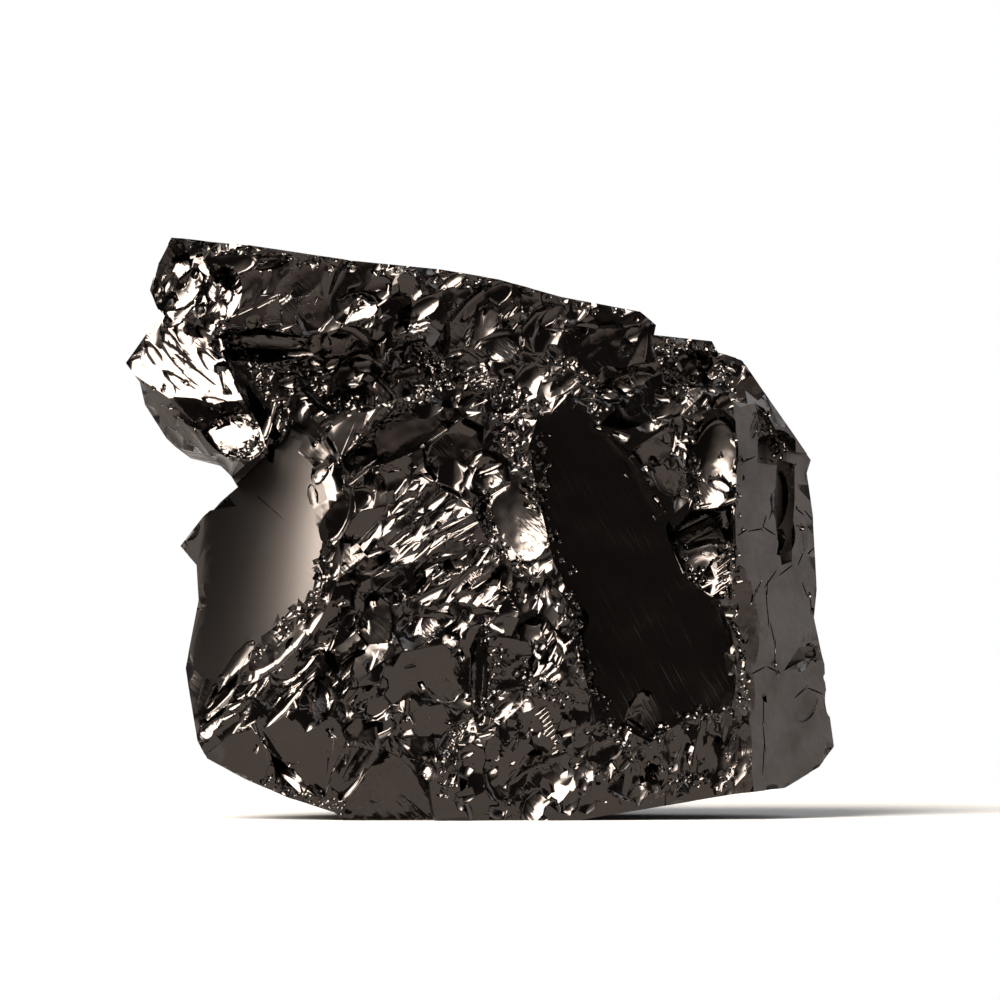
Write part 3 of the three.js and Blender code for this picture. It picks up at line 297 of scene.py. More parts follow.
SCAR_CORE = 0.8  # of a scar's area, where smaller chips mostly keep off

# Spalls that lower the ground for single scars: right, down, length, width, lie, facing, how deep they go, in
# millimetres, and how hollow they are for their width.
SPALLS = [
    (17, 27.4, 6, 4.4, 62, (-28, 28), 1.9, 0.03), (18.4, 28.6, 7.4, 4.4, 70, (-19, 14), 0.75, 0.02),
    (22, 29.8, 5.8, 4.4, 60, (-16, 17), 0.7, 0.02), (24.1, 43.6, 6.6, 4.8, -16, (-17, 20), 0.35, 0.03),
    (71.4, 46.4, 9.4, 4.8, 84, (-10, 11), 0.05, 0.11), (51.6, 52.2, 9, 6.4, -62, (-8, 11), 0.45, 0.08),
]
SADDLE = (25.6, 55.2, 27, 17, 74, (1.5, 7), -0.25, 0.095)  # the satin facet
SADDLE_BULGE = 0.5  # how far its floor bulges along its length, for its depth
SADDLE_BORDER = (0.84, 0.909)  # its upper left side ends at so many half widths, less so many per half length
SADDLE_TIP = 0.97  # of its half length, past which it narrows no more
SADDLE_LEAST = 0.05  # of its width is left on that side

# Shells with rings of ripples round the point that the blow struck: the same as for a spall.
RIPPLED = [
    (70.3, 55, 10.4, 5, -67, (-11, 11), 0.1, 0.1),
]
RIPPLE_CENTRE = (0.8, -0.28)  # the point that the blow struck, in half lengths and half widths
RIPPLE_STRETCH = 2.08  # how much longer than wide such a shell is
RIPPLES = 1.6  # in half a width
RIPPLE_HEIGHT = 0.08  # of the shell's depth
RIPPLE_LEAST = 0.25  # of that height is left where the ripples are faint

# Rows of fine scars side by side: right and down of the first and of the last, how many there are, each one's
# length and width, how they lie and the way they face.
SCAR_ROWS = [
    (47.6, 34.6, 52.4, 32.4, 9, 4.6, 0.32, 52, GLOW), (48.4, 33, 51.4, 31, 5, 3, 0.3, 52, KEY),
    (36.4, 29.8, 34.4, 32.4, 7, 1.3, 0.28, 66, KEY), (50.4, 58.6, 51.6, 61, 7, 2, 0.3, -30, KEY),
    (54, 71, 56, 75.8, 12, 1.7, 0.4, 38, KEY), (44, 55.6, 45.8, 58.6, 6, 2.8, 0.3, 24, KEY),
    (45, 52.4, 48.6, 54.8, 7, 2.6, 0.3, 30, GLOW), (36.4, 44.2, 33.2, 46.4, 6, 2, 0.3, 40, GLOW),
    (22.6, 70, 24.6, 71.6, 4, 2.6, 0.3, 26, KEY), (30.4, 66.4, 35.8, 69.2, 6, 5, 0.5, 46, DIM),
    (72.2, 55, 72.2, 58.8, 6, 2.4, 0.4, 32, KEY), (40.4, 53.6, 43.6, 57.2, 5, 3.2, 0.6, 40, KEY),
    (46.4, 55.6, 49, 60, 6, 2.6, 0.6, 34, KEY), (53.4, 60.4, 56.4, 67, 7, 1.7, 0.6, 70, KEY),
    (69.8, 52.2, 70.4, 53.4, 2, 4.2, 0.4, 28, GLOW),
]
ROW_FAN = (-4, 0, 4)  # degrees by which neighbours in a row lie apart
ROW_HOLLOW = 0.1  # of their width

# Cracks in the flank, each a line of fine grooves.
CRACKS = [
    [(73.9, 46.2), (75.5, 45.8), (76.8, 45.9), (77.6, 46.3)],
    [(73.6, 53.4), (74.7, 53.1), (76.2, 52.9), (77.6, 53.3)],
    [(76, 52.8), (76.8, 51.7), (77.5, 50.6)],
    [(79.4, 56.7), (77.9, 57.3), (76.3, 58.3), (75.2, 59.3), (75.1, 60.4)],
    [(76.8, 58.2), (76.6, 59.4), (76.7, 61), (76.9, 62.5), (77.6, 64.2), (77.4, 66)],
    [(79.6, 51), (80.5, 51.3), (81.5, 51.9)],
    [(79.6, 52.6), (80.7, 52.7), (81.6, 53.2)],
    [(79.7, 56.3), (80.6, 55.4), (81.7, 54.9)],
    [(80.2, 58.6), (81, 59.6), (81.3, 61)],
    [(75, 67.2), (76.6, 66.8), (78, 67.1), (79.6, 66.6)],
    [(76.4, 70), (76.2, 72.4), (76.5, 74.6), (76.1, 77)],
    [(79.4, 69.6), (80.8, 69), (82.4, 69.3)],
]
CRACK_WIDTH = 0.16
CRACK_HOLLOW = 0.8  # of its width
CRACK_OVERLAP = 1.5  # how much longer than its span each groove is

# Lines along which the glass crumbled into fine, glittering nicks, and how many nicks there are on each.
GLITTER_LINES = [
    (90, [(17.2, 24.4), (25, 25.2), (35, 26.6), (44, 27.5), (50, 28.5), (56, 30.2), (64, 31.6)]),
    (40, [(65.6, 34), (71, 34.6), (72, 36), (72.8, 39)]),
    (110, [(35.6, 45), (38, 42.4), (41.6, 39.4), (44, 38.2)]),
    (150, [(41, 32.4), (42, 36), (46, 37.4), (48.4, 38.4), (52, 40), (55, 41)]),
    (90, [(54.2, 42), (54.4, 50), (55.9, 56), (57.7, 60.4), (58.3, 64), (59.3, 68.6), (61.6, 72),
        (65, 73.8)]),
    (40, [(65, 74.2), (67, 72.8), (69.2, 71.4), (72.2, 71)]),
    (50, [(73, 60), (73.4, 62.8), (74.6, 66), (74, 70), (73.2, 74), (72.8, 78)]),
    (40, [(73.4, 42), (73.6, 48), (73.2, 52), (73, 60)]),
    (50, [(31.8, 55), (32.4, 59.4), (28.6, 62.4), (25.4, 66)]),
    (12, [(14, 38), (16.4, 40.6), (19.6, 43.8), (22, 45.8)]),
    (40, [(25.2, 36.4), (27.4, 40), (29, 43)]),
    (70, [(22, 32.6), (24.6, 36), (28.4, 37.4)]),
    (60, [(29.6, 37), (33.6, 40.4), (36, 40.8)]),
    (80, [(49.6, 40.4), (51, 44), (53, 47), (54, 51)]),
    (50, [(45.6, 72), (45, 76), (44.6, 79.4)]),
    (60, [(60, 72.4), (63, 75), (66, 77.4), (72, 78)]),
    (60, [(26.4, 78), (31, 80), (34, 81)]),
    (50, [(56, 36), (60, 38.6), (59.6, 42)]),
    (50, [(66.2, 34.8), (66.8, 37.4), (69, 38.4)]),
    (40, [(76.2, 41.4), (76.8, 43.4), (78.2, 45), (79, 46.4)]),
    (60, [(47, 61), (49.4, 64.4), (49.6, 69), (46.4, 72.6)]),
    (40, [(52, 66.4), (54, 69), (57, 70)]),
    (36, [(21.2, 42.2), (23, 41.3), (25.2, 42.2), (26.2, 44), (25.4, 45.4), (22.6, 45.8)]),
    (60, [(49.4, 48.8), (48.4, 51), (49.2, 53.8), (50.8, 56), (52.6, 56.8)]),
    (26, [(69.6, 42.6), (68.9, 45), (69, 48), (69.6, 50.4)]),
    (16, [(67, 52.4), (68, 55), (69.6, 58), (71.6, 60.6)]),
]
NICK_SPREAD = 0.45  # off its line, in millimetres
NICK_TO_KEY = 0.6  # how far such a nick turns from the stone's surface towards the key
NICK_TILT = 30  # degrees that it may face off that

# ---------------------------------------------------------------- fields of chips

# Where the stone broke up: how the long side of a splinter lies, in degrees up from the right, how far it
# swings from that, how much longer than wide it is, the way the field faces, how densely each size of chip
# covers it, from coarse to fine, and its outline.
FIELDS = [
    (62, 40, 1.8, (-6, -2), (0.15, 0.25, 0.08), [(22.4, 25), (25, 24.8), (35, 26.3), (37, 27), (36, 34),
        (31, 35.4), (22, 34.4)]),
    (64, 30, 1.8, (-17, 20), (0.5, 1.2, 0.8), [(15.4, 29), (17.2, 25.4), (20, 25.6), (24, 28), (24, 32),
        (22, 34), (17, 31.6)]),
    (60, 35, 1.9, (8, 9), (0.9, 0.4, 0.1), [(36, 26.6), (44, 27.2), (50, 28.2), (56, 30), (64, 31.6),
        (65.4, 33.4), (58, 33.6), (50, 35), (44, 36.6), (36, 35)]),
    (-40, 40, 1.6, (-38, -22), (0.7, 0.5, 0), [(13.8, 38.4), (17, 41.6), (19.4, 44.4), (19.4, 46.6),
        (17, 46), (13.6, 41)]),
    (20, 60, 1.8, (6, 9), (1, 0.6, 0.25), [(26, 36), (36, 35), (46, 35.6), (52, 34.6), (54.6, 36.8),
        (52, 39.4), (47, 41), (38, 41), (31, 42), (28, 41)]),
    (8, 40, 2.2, (6, 8), (0.6, 0.4, 0.2), [(54, 34), (66, 34), (72, 35), (73.4, 38), (73.6, 41), (66, 42),
        (61, 41), (56, 38)]),
    (46, 30, 2, (12, 0), (0.8, 0.3, 0.08), [(31.4, 43.4), (33, 42), (37, 44), (39.8, 47), (38.4, 53),
        (37, 58), (34.6, 61), (32.2, 56), (32.2, 50)]),
    (43, 16, 2.8, (-11, 14), (0.9, 0.6, 0.15), [(40, 47), (44, 44.6), (47, 49), (48.6, 56.6), (50, 58.6),
        (50, 62), (42, 62), (38.4, 57), (38.6, 51)]),
    (76, 35, 2.2, (6, 10), (0.8, 0.6, 0.3), [(49, 41), (54, 41.6), (54, 46), (49.6, 45.4)]),
    (80, 25, 2.2, (-3, 10), (0.9, 0.6, 0.3), [(51.4, 58.6), (56.4, 58.6), (58.4, 66), (59.4, 70), (54, 70),
        (51.6, 62)]),
    (50, 60, 1.8, (15, 3), (1.1, 0.3, 0.06), [(33, 60), (50, 60), (57, 66), (59, 71), (50, 76), (38, 75),
        (28, 71), (27, 66)]),
    (47, 10, 3.6, (9, 5), (0.9, 0.45, 0.08), [(32.6, 59.6), (37, 62), (30, 70), (21, 74), (20, 71.4),
        (24.6, 66)]),
    (60, 60, 1.6, (4, 8), (0.9, 0.5, 0.25), [(42, 74), (56, 71), (61, 73), (61, 80), (50, 81.4), (43, 81)]),
    (80, 14, 2.8, (6, -1), (0.9, 0.6, 0.2), [(59, 70), (65, 74), (70, 71.2), (73.4, 71), (74.2, 78.6),
        (62, 80.4), (57, 80)]),
    (80, 40, 1.5, (2, -7), (0.15, 0.2, 0.1), [(60, 43.6), (69.4, 42), (69, 50), (68, 52), (64, 47.6)]),
    (85, 25, 1.8, (4, 8), (0.6, 0.8, 0.4), [(71.4, 60.6), (73.4, 61), (75, 64), (75.2, 68), (74.4, 78),
        (72.6, 78), (73.2, 68), (72, 61)]),
]
FACING_SHARE = 0.75  # how far a chip's blow turns from the stone's surface towards the way the field faces
STRETCH_SPREAD = (0.5, 1.3)  # a chip is longer than wide by between these shares of its field's stretch
SPARED = 0.8  # the share of the smaller chips that keep off the single scars, beside those facing the key

# The sizes of chips, from coarse to fine: how long, in millimetres, how deep for their width, how far they
# tilt, in degrees, and which tool leaves them.
CHIP_SIZES = [
    ((4.5, 9.0), (0.04, 0.10), 17, "wide_shell"),
    ((2.2, 4.6), (0.05, 0.12), 22, "shell"),
    ((1.0, 2.2), (0.07, 0.15), 32, "small_shell"),
]

# Nicks and bites out of the edges: how long, in millimetres, how deep for their width, how many millimetres
# of edge there are to each, and the shortest edge that has any.
NICK = {"length": (0.35, 1.0), "hollow": (0.2, 0.4), "spacing": 11, "least": 0.0}
BITE = {"length": (1.6, 4.2), "hollow": (0.1, 0.2), "spacing": 3.2, "least": 2.2}
NICK_WIDTH = (0.5, 0.9)  # of its length
NICK_SWAY = 20  # degrees that its long side may leave the front
NICK_TOP = 1.5  # how high its tool stands, in half widths
EDGE_NICK_TILT = 35  # degrees that a nick may face off its edge
SHARP = math.radians(35)  # the least angle between two faces at a sharp edge
FRONT = -0.35  # the Y of a normal that belongs to the front, where nothing is bitten
FOOT_CLEARANCE = 1.2  # millimetres above the table, below which no edge is nicked

BITE_SEED = 2
CHIP_SEED = 100  # times the number of the size, and one more for each field
SCAR_SEED = 6
LINE_SEED = 7
EDGE_SEED = 8

# ---------------------------------------------------------------- knapping tools

FAR = 0.1
STRAIGHT_FORWARD = Vector((0, -1, 0))
RIM = 0.98  # of a tool's own height: what is higher is its top
BANK = 0.9  # of the rim, the height that the sides of a bowl may reach
BRIM = 0.12  # how far the top stands out past the sides, in radii
TOOL_WELD = 1e-5  # in radii, and the next in metres: points closer than this become one
STONE_WELD = 1e-6
SINK = 0.5  # how deep a slanting blow is sunk, for its half width and its slope
STEEPEST = 0.9  # radians of slope that count for that
OVER = 1.5  # how high a tool stands over its rim, for its sink


def clear_selection():
    bpy.ops.object.select_all(action="DESELECT")


def make_active(piece):
    clear_selection()
    piece.select_set(True)
    bpy.context.view_layer.objects.active = piece


def bowl_tool(name, rings, sides, reach):
    """A bowl of radius 1 and depth 1 that goes on opening to its reach, closed by a top at height 1."""
    radii = [reach * i / rings for i in range(rings + 1)]
    profile = [(radius, radius * radius - 1) for radius in radii]
    lift = max(profile[-1][1], BANK)
    profile = [(radius, height * RIM * BANK / lift if height > 0 else height) for radius, height in profile]
    points = [(radius, 0, height) for radius, height in profile + [(reach + BRIM, 1), (0, 1)]]
    mesh = bpy.data.meshes.new(name)
    mesh.from_pydata(points, [(i, i + 1) for i in range(len(points) - 1)], [])
    tool = bpy.data.objects.new(name, mesh)
    bpy.context.scene.collection.objects.link(tool)
    make_active(tool)
    bpy.ops.object.mode_set(mode="EDIT")
    bpy.ops.mesh.select_all(action="SELECT")
    bpy.ops.mesh.spin(steps=sides, angle=2 * math.pi, center=(0, 0, 0), axis=(0, 0, 1))
    bpy.ops.mesh.select_all(action="SELECT")
    bpy.ops.mesh.remove_doubles(threshold=TOOL_WELD)
    bpy.ops.mesh.normals_make_consistent(inside=False)
    bpy.ops.object.mode_set(mode="OBJECT")
    bpy.context.scene.collection.objects.unlink(tool)
    return tool


def rippled_tool(name, rings, sides):
    """A bowl with ripples, strong round the blow and at the far side and faint between."""
    tool = bowl_tool(name, rings, sides, 1.0)
    for vertex in tool.data.vertices:
        off_along = (vertex.co.x - RIPPLE_CENTRE[0]) * RIPPLE_STRETCH
        radius = math.hypot(off_along, vertex.co.y - RIPPLE_CENTRE[1])
        strength = RIPPLE_LEAST + (1 - RIPPLE_LEAST) * math.cos(radius * math.pi / 2) ** 2
        if vertex.co.z < 0:
            vertex.co.z += RIPPLE_HEIGHT * strength * math.cos(radius * RIPPLES * 2 * math.pi)
    return tool


def saddle_tool(name, rings, sides):
    """A bowl that bulges along its length, cut short on one side by a straight border."""
    tool = bowl_tool(name, rings, sides, 1.0)
    for vertex in tool.data.vertices:
        if vertex.co.y > 0:
            rim = math.sqrt(1 - min(abs(vertex.co.x), SADDLE_TIP) ** 2)
            border = SADDLE_BORDER[0] - SADDLE_BORDER[1] * vertex.co.x
            vertex.co.y *= max(SADDLE_LEAST, min(1, border / rim))
        if vertex.co.z < RIM:
            vertex.co.z = vertex.co.y ** 2 - SADDLE_BULGE * vertex.co.x ** 2 - 1
    return tool


# Each bowl: its rings, its sides, and how far it goes on opening, in radii.
BOWLS = {
    "dish": (8, 28, 1.0), "wide_scar": (5, 16, 1.1), "scar": (3, 10, 1.1), "wide_shell": (6, 16, 1.5),
    "shell": (4, 10, 1.5), "small_shell": (3, 7, 1.4), "nick": (2, 5, 1.2),
}
TOOLS = {name: bowl_tool(name, *sizes) for name, sizes in BOWLS.items()}
TOOLS["saddle"] = saddle_tool("saddle", rings=12, sides=36)
TOOLS["rippled"] = rippled_tool("rippled", rings=34, sides=80)


# ---------------------------------------------------------------- blows

def strike(stone, blows):
    """Takes all the blows' shapes out of the stone at once."""
    group = bpy.data.collections.new("blows")
    bpy.context.scene.collection.children.link(group)
    for tool in blows:
        group.objects.link(tool)
    cut = stone.modifiers.new("blows", "BOOLEAN")
    cut.operation = "DIFFERENCE"
    cut.solver = "MANIFOLD"
    cut.operand_type = "COLLECTION"
    cut.collection = group
    make_active(stone)
    bpy.ops.object.modifier_apply(modifier=cut.name)
    for tool in blows:
        bpy.data.meshes.remove(tool.data)
    bpy.data.collections.remove(group)


def blow(tool, point, normal, along, half_length, half_width, hollow, top):
    """A tool set on the stone: its long side along a direction, its rim at the point, facing a normal."""
    across = normal.cross(along).normalized()
    lengthwise = across.cross(normal).normalized()
    turn = Matrix((lengthwise, across, normal)).transposed().to_4x4()
    size = Matrix.Diagonal((half_length, half_width, hollow, 1))
    copy = tool.copy()
    copy.data = tool.data.copy()
    for vertex in copy.data.vertices:
        if vertex.co.z > RIM:
            vertex.co.z = top / hollow
    copy.data.transform(Matrix.Translation(point) @ turn @ size)
    return copy


def surface_of(stone):
    return BVHTree.FromObject(stone, bpy.context.evaluated_depsgraph_get())


def seen_at(surface, place):
    """The point of the stone that lies behind a place on the sheet, and its normal."""
    point, normal, _, _ = surface.ray_cast(on_sheet(*place, y=-FAR), -STRAIGHT_FORWARD)
    return point, normal


def facing(turn, lean):
    """The direction that turns right and leans up by some degrees from straight forward."""
    turned, raised = math.radians(turn), math.radians(lean)
    level = math.cos(raised)
    return Vector((math.sin(turned) * level, -math.cos(turned) * level, math.sin(raised)))


def on_front(degrees):
    """The direction on the front that runs so many degrees up from the right."""
    angle = math.radians(degrees)
    return Vector((math.cos(angle), 0, math.sin(angle)))


def tilted(normal, degrees, draw):
    """A direction up to some degrees off a normal."""
    off = Vector((draw.gauss(0, 1), draw.gauss(0, 1), draw.gauss(0, 1)))
    off -= off.dot(normal) * normal
    return (normal + off.normalized() * math.tan(math.radians(degrees) * draw.random() ** 0.5)).normalized()


def area_of(outline):
    return abs(sum(a[0] * b[1] - b[0] * a[1] for a, b in zip(outline, outline[1:] + outline[:1]))) / 2


def sunk(aim, normal, half_width):
    """How deep a blow goes in so that it takes the whole of its width off a surface that slopes to it."""
    return half_width * SINK * math.tan(min(STEEPEST, aim.angle(normal)))


def scar(surface, row, draw):
    """The blow that leaves one single scar."""
    right, down, length, width, along, way, hollow = row
    point, normal = seen_at(surface, (right, down))
    aim = tilted(facing(*way), SCAR_JITTER, draw)
    half_width = width / 2 * MM
    sink = sunk(aim, normal, half_width) + hollow * half_width * SCAR_SINK
    depth = max(width * hollow * 2, LEAST_DEPTH) * MM
    tool = TOOLS["wide_scar" if width > WIDE_SCAR else "scar"]
    return blow(tool, point - aim * sink, aim, on_front(along), length / 2 * MM, half_width, depth,
                sink * OVER + half_width)


def spall(surface, row, tool):
    """The blow that takes off one spall."""
    right, down, length, width, along, way, deep, hollow = row
    point, normal = seen_at(surface, (right, down))
    aim = facing(*way)
    return blow(TOOLS[tool], point - aim * deep * MM, aim, on_front(along), length / 2 * MM, width / 2 * MM,
                hollow * width * MM, 2 * abs(deep) * MM + width / 2 * MM)


def rows_of_scars():
    """Every single scar, with the rows of fine ones and the cracks written out."""
    rows = [row for group in SCARS.values() for row in group]
    for right, down, last_right, last_down, count, length, width, along, way in SCAR_ROWS:
        for i in range(count):
            share = i / (count - 1)
            place = (right + (last_right - right) * share, down + (last_down - down) * share)
            rows.append((*place, length, width, along + ROW_FAN[i % 3], way, ROW_HOLLOW))
    for line in CRACKS:
        for a, b in zip(line, line[1:]):
            middle = ((a[0] + b[0]) / 2, (a[1] + b[1]) / 2)
            along = math.degrees(math.atan2(a[1] - b[1], b[0] - a[0]))
            rows.append((*middle, math.dist(a, b) * CRACK_OVERLAP, CRACK_WIDTH, along, FLANK, CRACK_HOLLOW))
    return rows


def is_in_scar(place, row):
    right, down, length, width, along, way, hollow = row
    angle = math.radians(along)
    off_right, off_up = place[0] - right, down - place[1]
    lengthwise = off_right * math.cos(angle) + off_up * math.sin(angle)
    crosswise = off_up * math.cos(angle) - off_right * math.sin(angle)
    return (2 * lengthwise / length) ** 2 + (2 * crosswise / width) ** 2 < SCAR_CORE


def chips_in_field(surface, field, number, scars, draw):
    """The blows that cover a field with one size of chip, kept off smooth faces and most single scars."""
    along, swing, stretch, way, cover, outline = field
    lengths, hollows, tilt, tool = CHIP_SIZES[number]
    rights = [right for right, down in outline]
    downs = [down for right, down in outline]
    mean = sum(lengths) / 2
    share = mean * mean / stretch * math.pi / 4
    left = round(cover[number] * area_of(outline) / share)
    blows = []
    while left > 0:
        place = (draw.uniform(min(rights), max(rights)), draw.uniform(min(downs), max(downs)))
        if not is_inside(place, outline):
            continue
        left -= 1
        if any(is_inside(place, smooth) for smooth in SMOOTH_FACES.values()):
            continue
        hit = [row for row in scars if is_in_scar(place, row)]
        if hit and (any(KEY in row for row in hit) or draw.random() < SPARED):
            continue
        point, normal = seen_at(surface, place)
        if point is None:
            continue
        half_length = draw.uniform(*lengths) / 2 * MM
        half_width = half_length / (1 + (stretch - 1) * draw.uniform(*STRETCH_SPREAD))
        hollow = half_width * 2 * draw.uniform(*hollows)
        lie = on_front(along + draw.uniform(-1, 1) * swing)
        aim = tilted(normal.lerp(facing(*way), FACING_SHARE).normalized(), tilt, draw)
        sink = sunk(aim, normal, half_width)
        blows.append(blow(TOOLS[tool], point - aim * sink, aim, lie, half_length, half_width, hollow,
                          sink * OVER + half_width))
    return blows


def nick(tool, point, normal, kind, draw):
    """One small nick or bite."""
    half_length = draw.uniform(*kind["length"]) / 2 * MM
    half_width = half_length * draw.uniform(*NICK_WIDTH)
    hollow = half_width * 2 * draw.uniform(*kind["hollow"])
    along = tilted(on_front(draw.uniform(0, 180)), NICK_SWAY, draw)
    return blow(tool, point, normal, along, half_length, half_width, hollow, half_width * NICK_TOP)


def nicks_on_lines(surface, tool, draw):
    """Glittering nicks along the lines where the glass crumbled."""
    blows = []
    for count, line in GLITTER_LINES:
        spans = [math.dist(a, b) for a, b in zip(line, line[1:])]
        for _ in range(count):
            run = draw.uniform(0, sum(spans))
            for (a, b), span in zip(zip(line, line[1:]), spans):
                if run <= span:
                    break
                run -= span
            place = [start + (end - start) * min(1, run / span) + draw.gauss(0, NICK_SPREAD)
                     for start, end in zip(a, b)]
            point, normal = seen_at(surface, place)
            if point is not None:
                aim = tilted(normal.lerp(facing(*KEY), NICK_TO_KEY).normalized(), NICK_TILT, draw)
                blows.append(nick(tool, point, aim, NICK, draw))
    return blows


def nicks_on_edges(stone, tool, kind, draw):
    """Nicks along the sharp edges that stand out and are long enough."""
    mesh = stone.data
    edge_faces = {}
    for face in mesh.polygons:
        for key in face.edge_keys:
            edge_faces.setdefault(key, []).append(face)
    edges = [(mesh.vertices[start].co, mesh.vertices[end].co, faces)
             for (start, end), faces in edge_faces.items() if len(faces) == 2]
    if kind is NICK:
        # Many blows leave the mesh in another order each time, so the edges are put in order by their places.
        edges = [(*sorted((a, b), key=tuple), sorted(faces, key=lambda face: tuple(face.center)))
                 for a, b, faces in edges]
        edges.sort(key=lambda edge: (*edge[0], *edge[1]))
    blows = []
    for a, b, (one, other) in edges:
        if one.normal.angle(other.normal, 0) < SHARP:
            continue
        if (other.center - one.center).dot(one.normal) > 0:
            continue
        if (b - a).length < kind["least"] * MM:
            continue
        if kind is BITE and max(one.normal.y, other.normal.y) < FRONT:
            continue
        for _ in range(int((b - a).length / (kind["spacing"] * MM) + draw.random())):
            point = a.lerp(b, draw.random())
            if point.z > FOOT_CLEARANCE * MM:
                aim = tilted((one.normal + other.normal).normalized(), EDGE_NICK_TILT, draw)
                blows.append(nick(tool, point, aim, kind, draw))
    return blows


# ---------------------------------------------------------------- the stone

def merged_copy(node):
    """A copy of a node's solid with its doubled vertices merged."""
    stone = node.copy()
    stone.data = node.data.copy()
    stone.name = stone.data.name = "shungite_stone"
    bpy.context.scene.collection.objects.link(stone)
    stone.parent = None
    for key in list(stone.keys()):
        del stone[key]
    stone.data.materials.clear()
    make_active(stone)
    bpy.ops.object.mode_set(mode="EDIT")
    bpy.ops.mesh.select_all(action="SELECT")
    bpy.ops.mesh.remove_doubles(threshold=STONE_WELD)
    bpy.ops.object.mode_set(mode="OBJECT")
    return stone


def break_into_chips(stone, number, scars):
    """Covers the fields with one size of chip."""
    surface = surface_of(stone)
    blows = []
    for index, field in enumerate(FIELDS):
        blows += chips_in_field(surface, field, number, scars, random.Random(CHIP_SEED * number + index))
    strike(stone, blows)


def knap(stone):
    """Breaks the stone up, from the largest blows to the finest nicks."""
    surface = surface_of(stone)
    strike(stone, [spall(surface, row, "dish") for row in SPALLS] + [spall(surface, SADDLE, "saddle")])
    strike(stone, nicks_on_edges(stone, TOOLS["small_shell"], BITE, random.Random(BITE_SEED)))
    break_into_chips(stone, 0, [])
    surface = surface_of(stone)
    strike(stone, [spall(surface, row, "rippled") for row in RIPPLED])
    scars = rows_of_scars()
    for bright in False, True:
        surface = surface_of(stone)
        draw = random.Random(SCAR_SEED)
        strike(stone, [scar(surface, row, draw) for row in scars if (KEY in row) == bright])
    break_into_chips(stone, 1, scars)
    break_into_chips(stone, 2, scars)
    strike(stone, nicks_on_lines(surface_of(stone), TOOLS["nick"], random.Random(LINE_SEED)))
    strike(stone, nicks_on_edges(stone, TOOLS["nick"], NICK, random.Random(EDGE_SEED)))


def keep_largest(stone):
    """Crumbs that came loose are dropped."""
    make_active(stone)
    bpy.ops.object.mode_set(mode="EDIT")
    bpy.ops.mesh.select_all(action="SELECT")
    bpy.ops.mesh.separate(type="LOOSE")
    bpy.ops.object.mode_set(mode="OBJECT")
    parts = sorted(bpy.context.selected_objects, key=lambda part: len(part.data.polygons))
    for crumb in parts[:-1]:
        bpy.data.meshes.remove(crumb.data)
    largest = parts[-1]
    largest.name = largest.data.name = "shungite_stone"
    return largest


# ---------------------------------------------------------------- materials

def srgb(code):
    """A hex colour as linear red, green, blue and alpha."""
    parts = [int(code[i:i + 2], 16) / 255 for i in (1, 3, 5)]
    return [part / 12.92 if part <= 0.04045 else ((part + 0.055) / 1.055) ** 2.4 for part in parts] + [1.0]


def add(tree, kind, settings=None, **inputs):
    """Adds a node with its settings, and sets its inputs or links them to another node's first output."""
    node = tree.nodes.new(kind)
    for key, value in (settings or {}).items():
        setattr(node, key, value)
    for key, value in inputs.items():
        socket = node.inputs[int(key[1:])] if key[0] == "_" else node.inputs[key.replace("_", " ")]
        if isinstance(value, bpy.types.Node):
            value = value.outputs[0]
        if isinstance(value, bpy.types.NodeSocket):
            tree.links.new(value, socket)
        else:
            socket.default_value = value
    return node


def new_material(name):
    material = bpy.data.materials.new(name)
    material.use_nodes = True
    material.node_tree.nodes.clear()
    return material, material.node_tree


MATH = "ShaderNodeMath"
VECTORS = "ShaderNodeVectorMath"
TIMES = {"operation": "MULTIPLY"}
MINUS = {"operation": "SUBTRACT"}
DOT = {"operation": "DOT_PRODUCT"}
CARBON = srgb("#010101")  # glassy carbon is black; all its tones are reflections
FILM = srgb("#17120f")  # the dull brown film that weather leaves
WARM_SHINE = srgb("#ffede3")
CARBON_IOR = 1.5  # as for glass


def object_place(tree, lie, stretch=1):
    """Object coordinates turned on the front so that X runs along the lie, and squeezed along it."""
    place = add(tree, "ShaderNodeTexCoord").outputs["Object"]
    turned = add(tree, "ShaderNodeMapping", Vector=place, Rotation=(0, math.radians(lie), 0))
    return add(tree, VECTORS, TIMES, _0=turned, _1=(1 / stretch, 1, 1))


def waves(tree, place, size, height, detail=2.0):
    """Smooth unevenness: a height of about so many millimetres over so many millimetres."""
    noise = add(tree, "ShaderNodeTexNoise", Vector=place, Scale=1 / (size * MM), Detail=detail)
    return add(tree, MATH, TIMES, _0=noise, _1=height * MM)


def patches(tree, place, size, least, most):
    """Where in patches a texture shows, from 0 to 1."""
    noise = add(tree, "ShaderNodeTexNoise", Vector=place, Scale=1 / (size * MM), Detail=1.0)
    return add(tree, "ShaderNodeMapRange", {"interpolation_type": "SMOOTHSTEP"}, Value=noise, From_Min=least,
               From_Max=most)


def tiny_facets(tree, place, size, tilt):
    """Flat facets of so many millimetres, each tilted at random."""
    cells = add(tree, "ShaderNodeTexVoronoi", Vector=place, Scale=1 / (size * MM))
    offset = add(tree, VECTORS, MINUS, _0=place, _1=cells.outputs["Position"])
    lean = add(tree, VECTORS, MINUS, _0=cells.outputs["Color"], _1=(0.5, 0.5, 0.5))
    height = add(tree, VECTORS, DOT, _0=offset, _1=lean).outputs["Value"]
    return add(tree, MATH, TIMES, _0=height, _1=tilt)


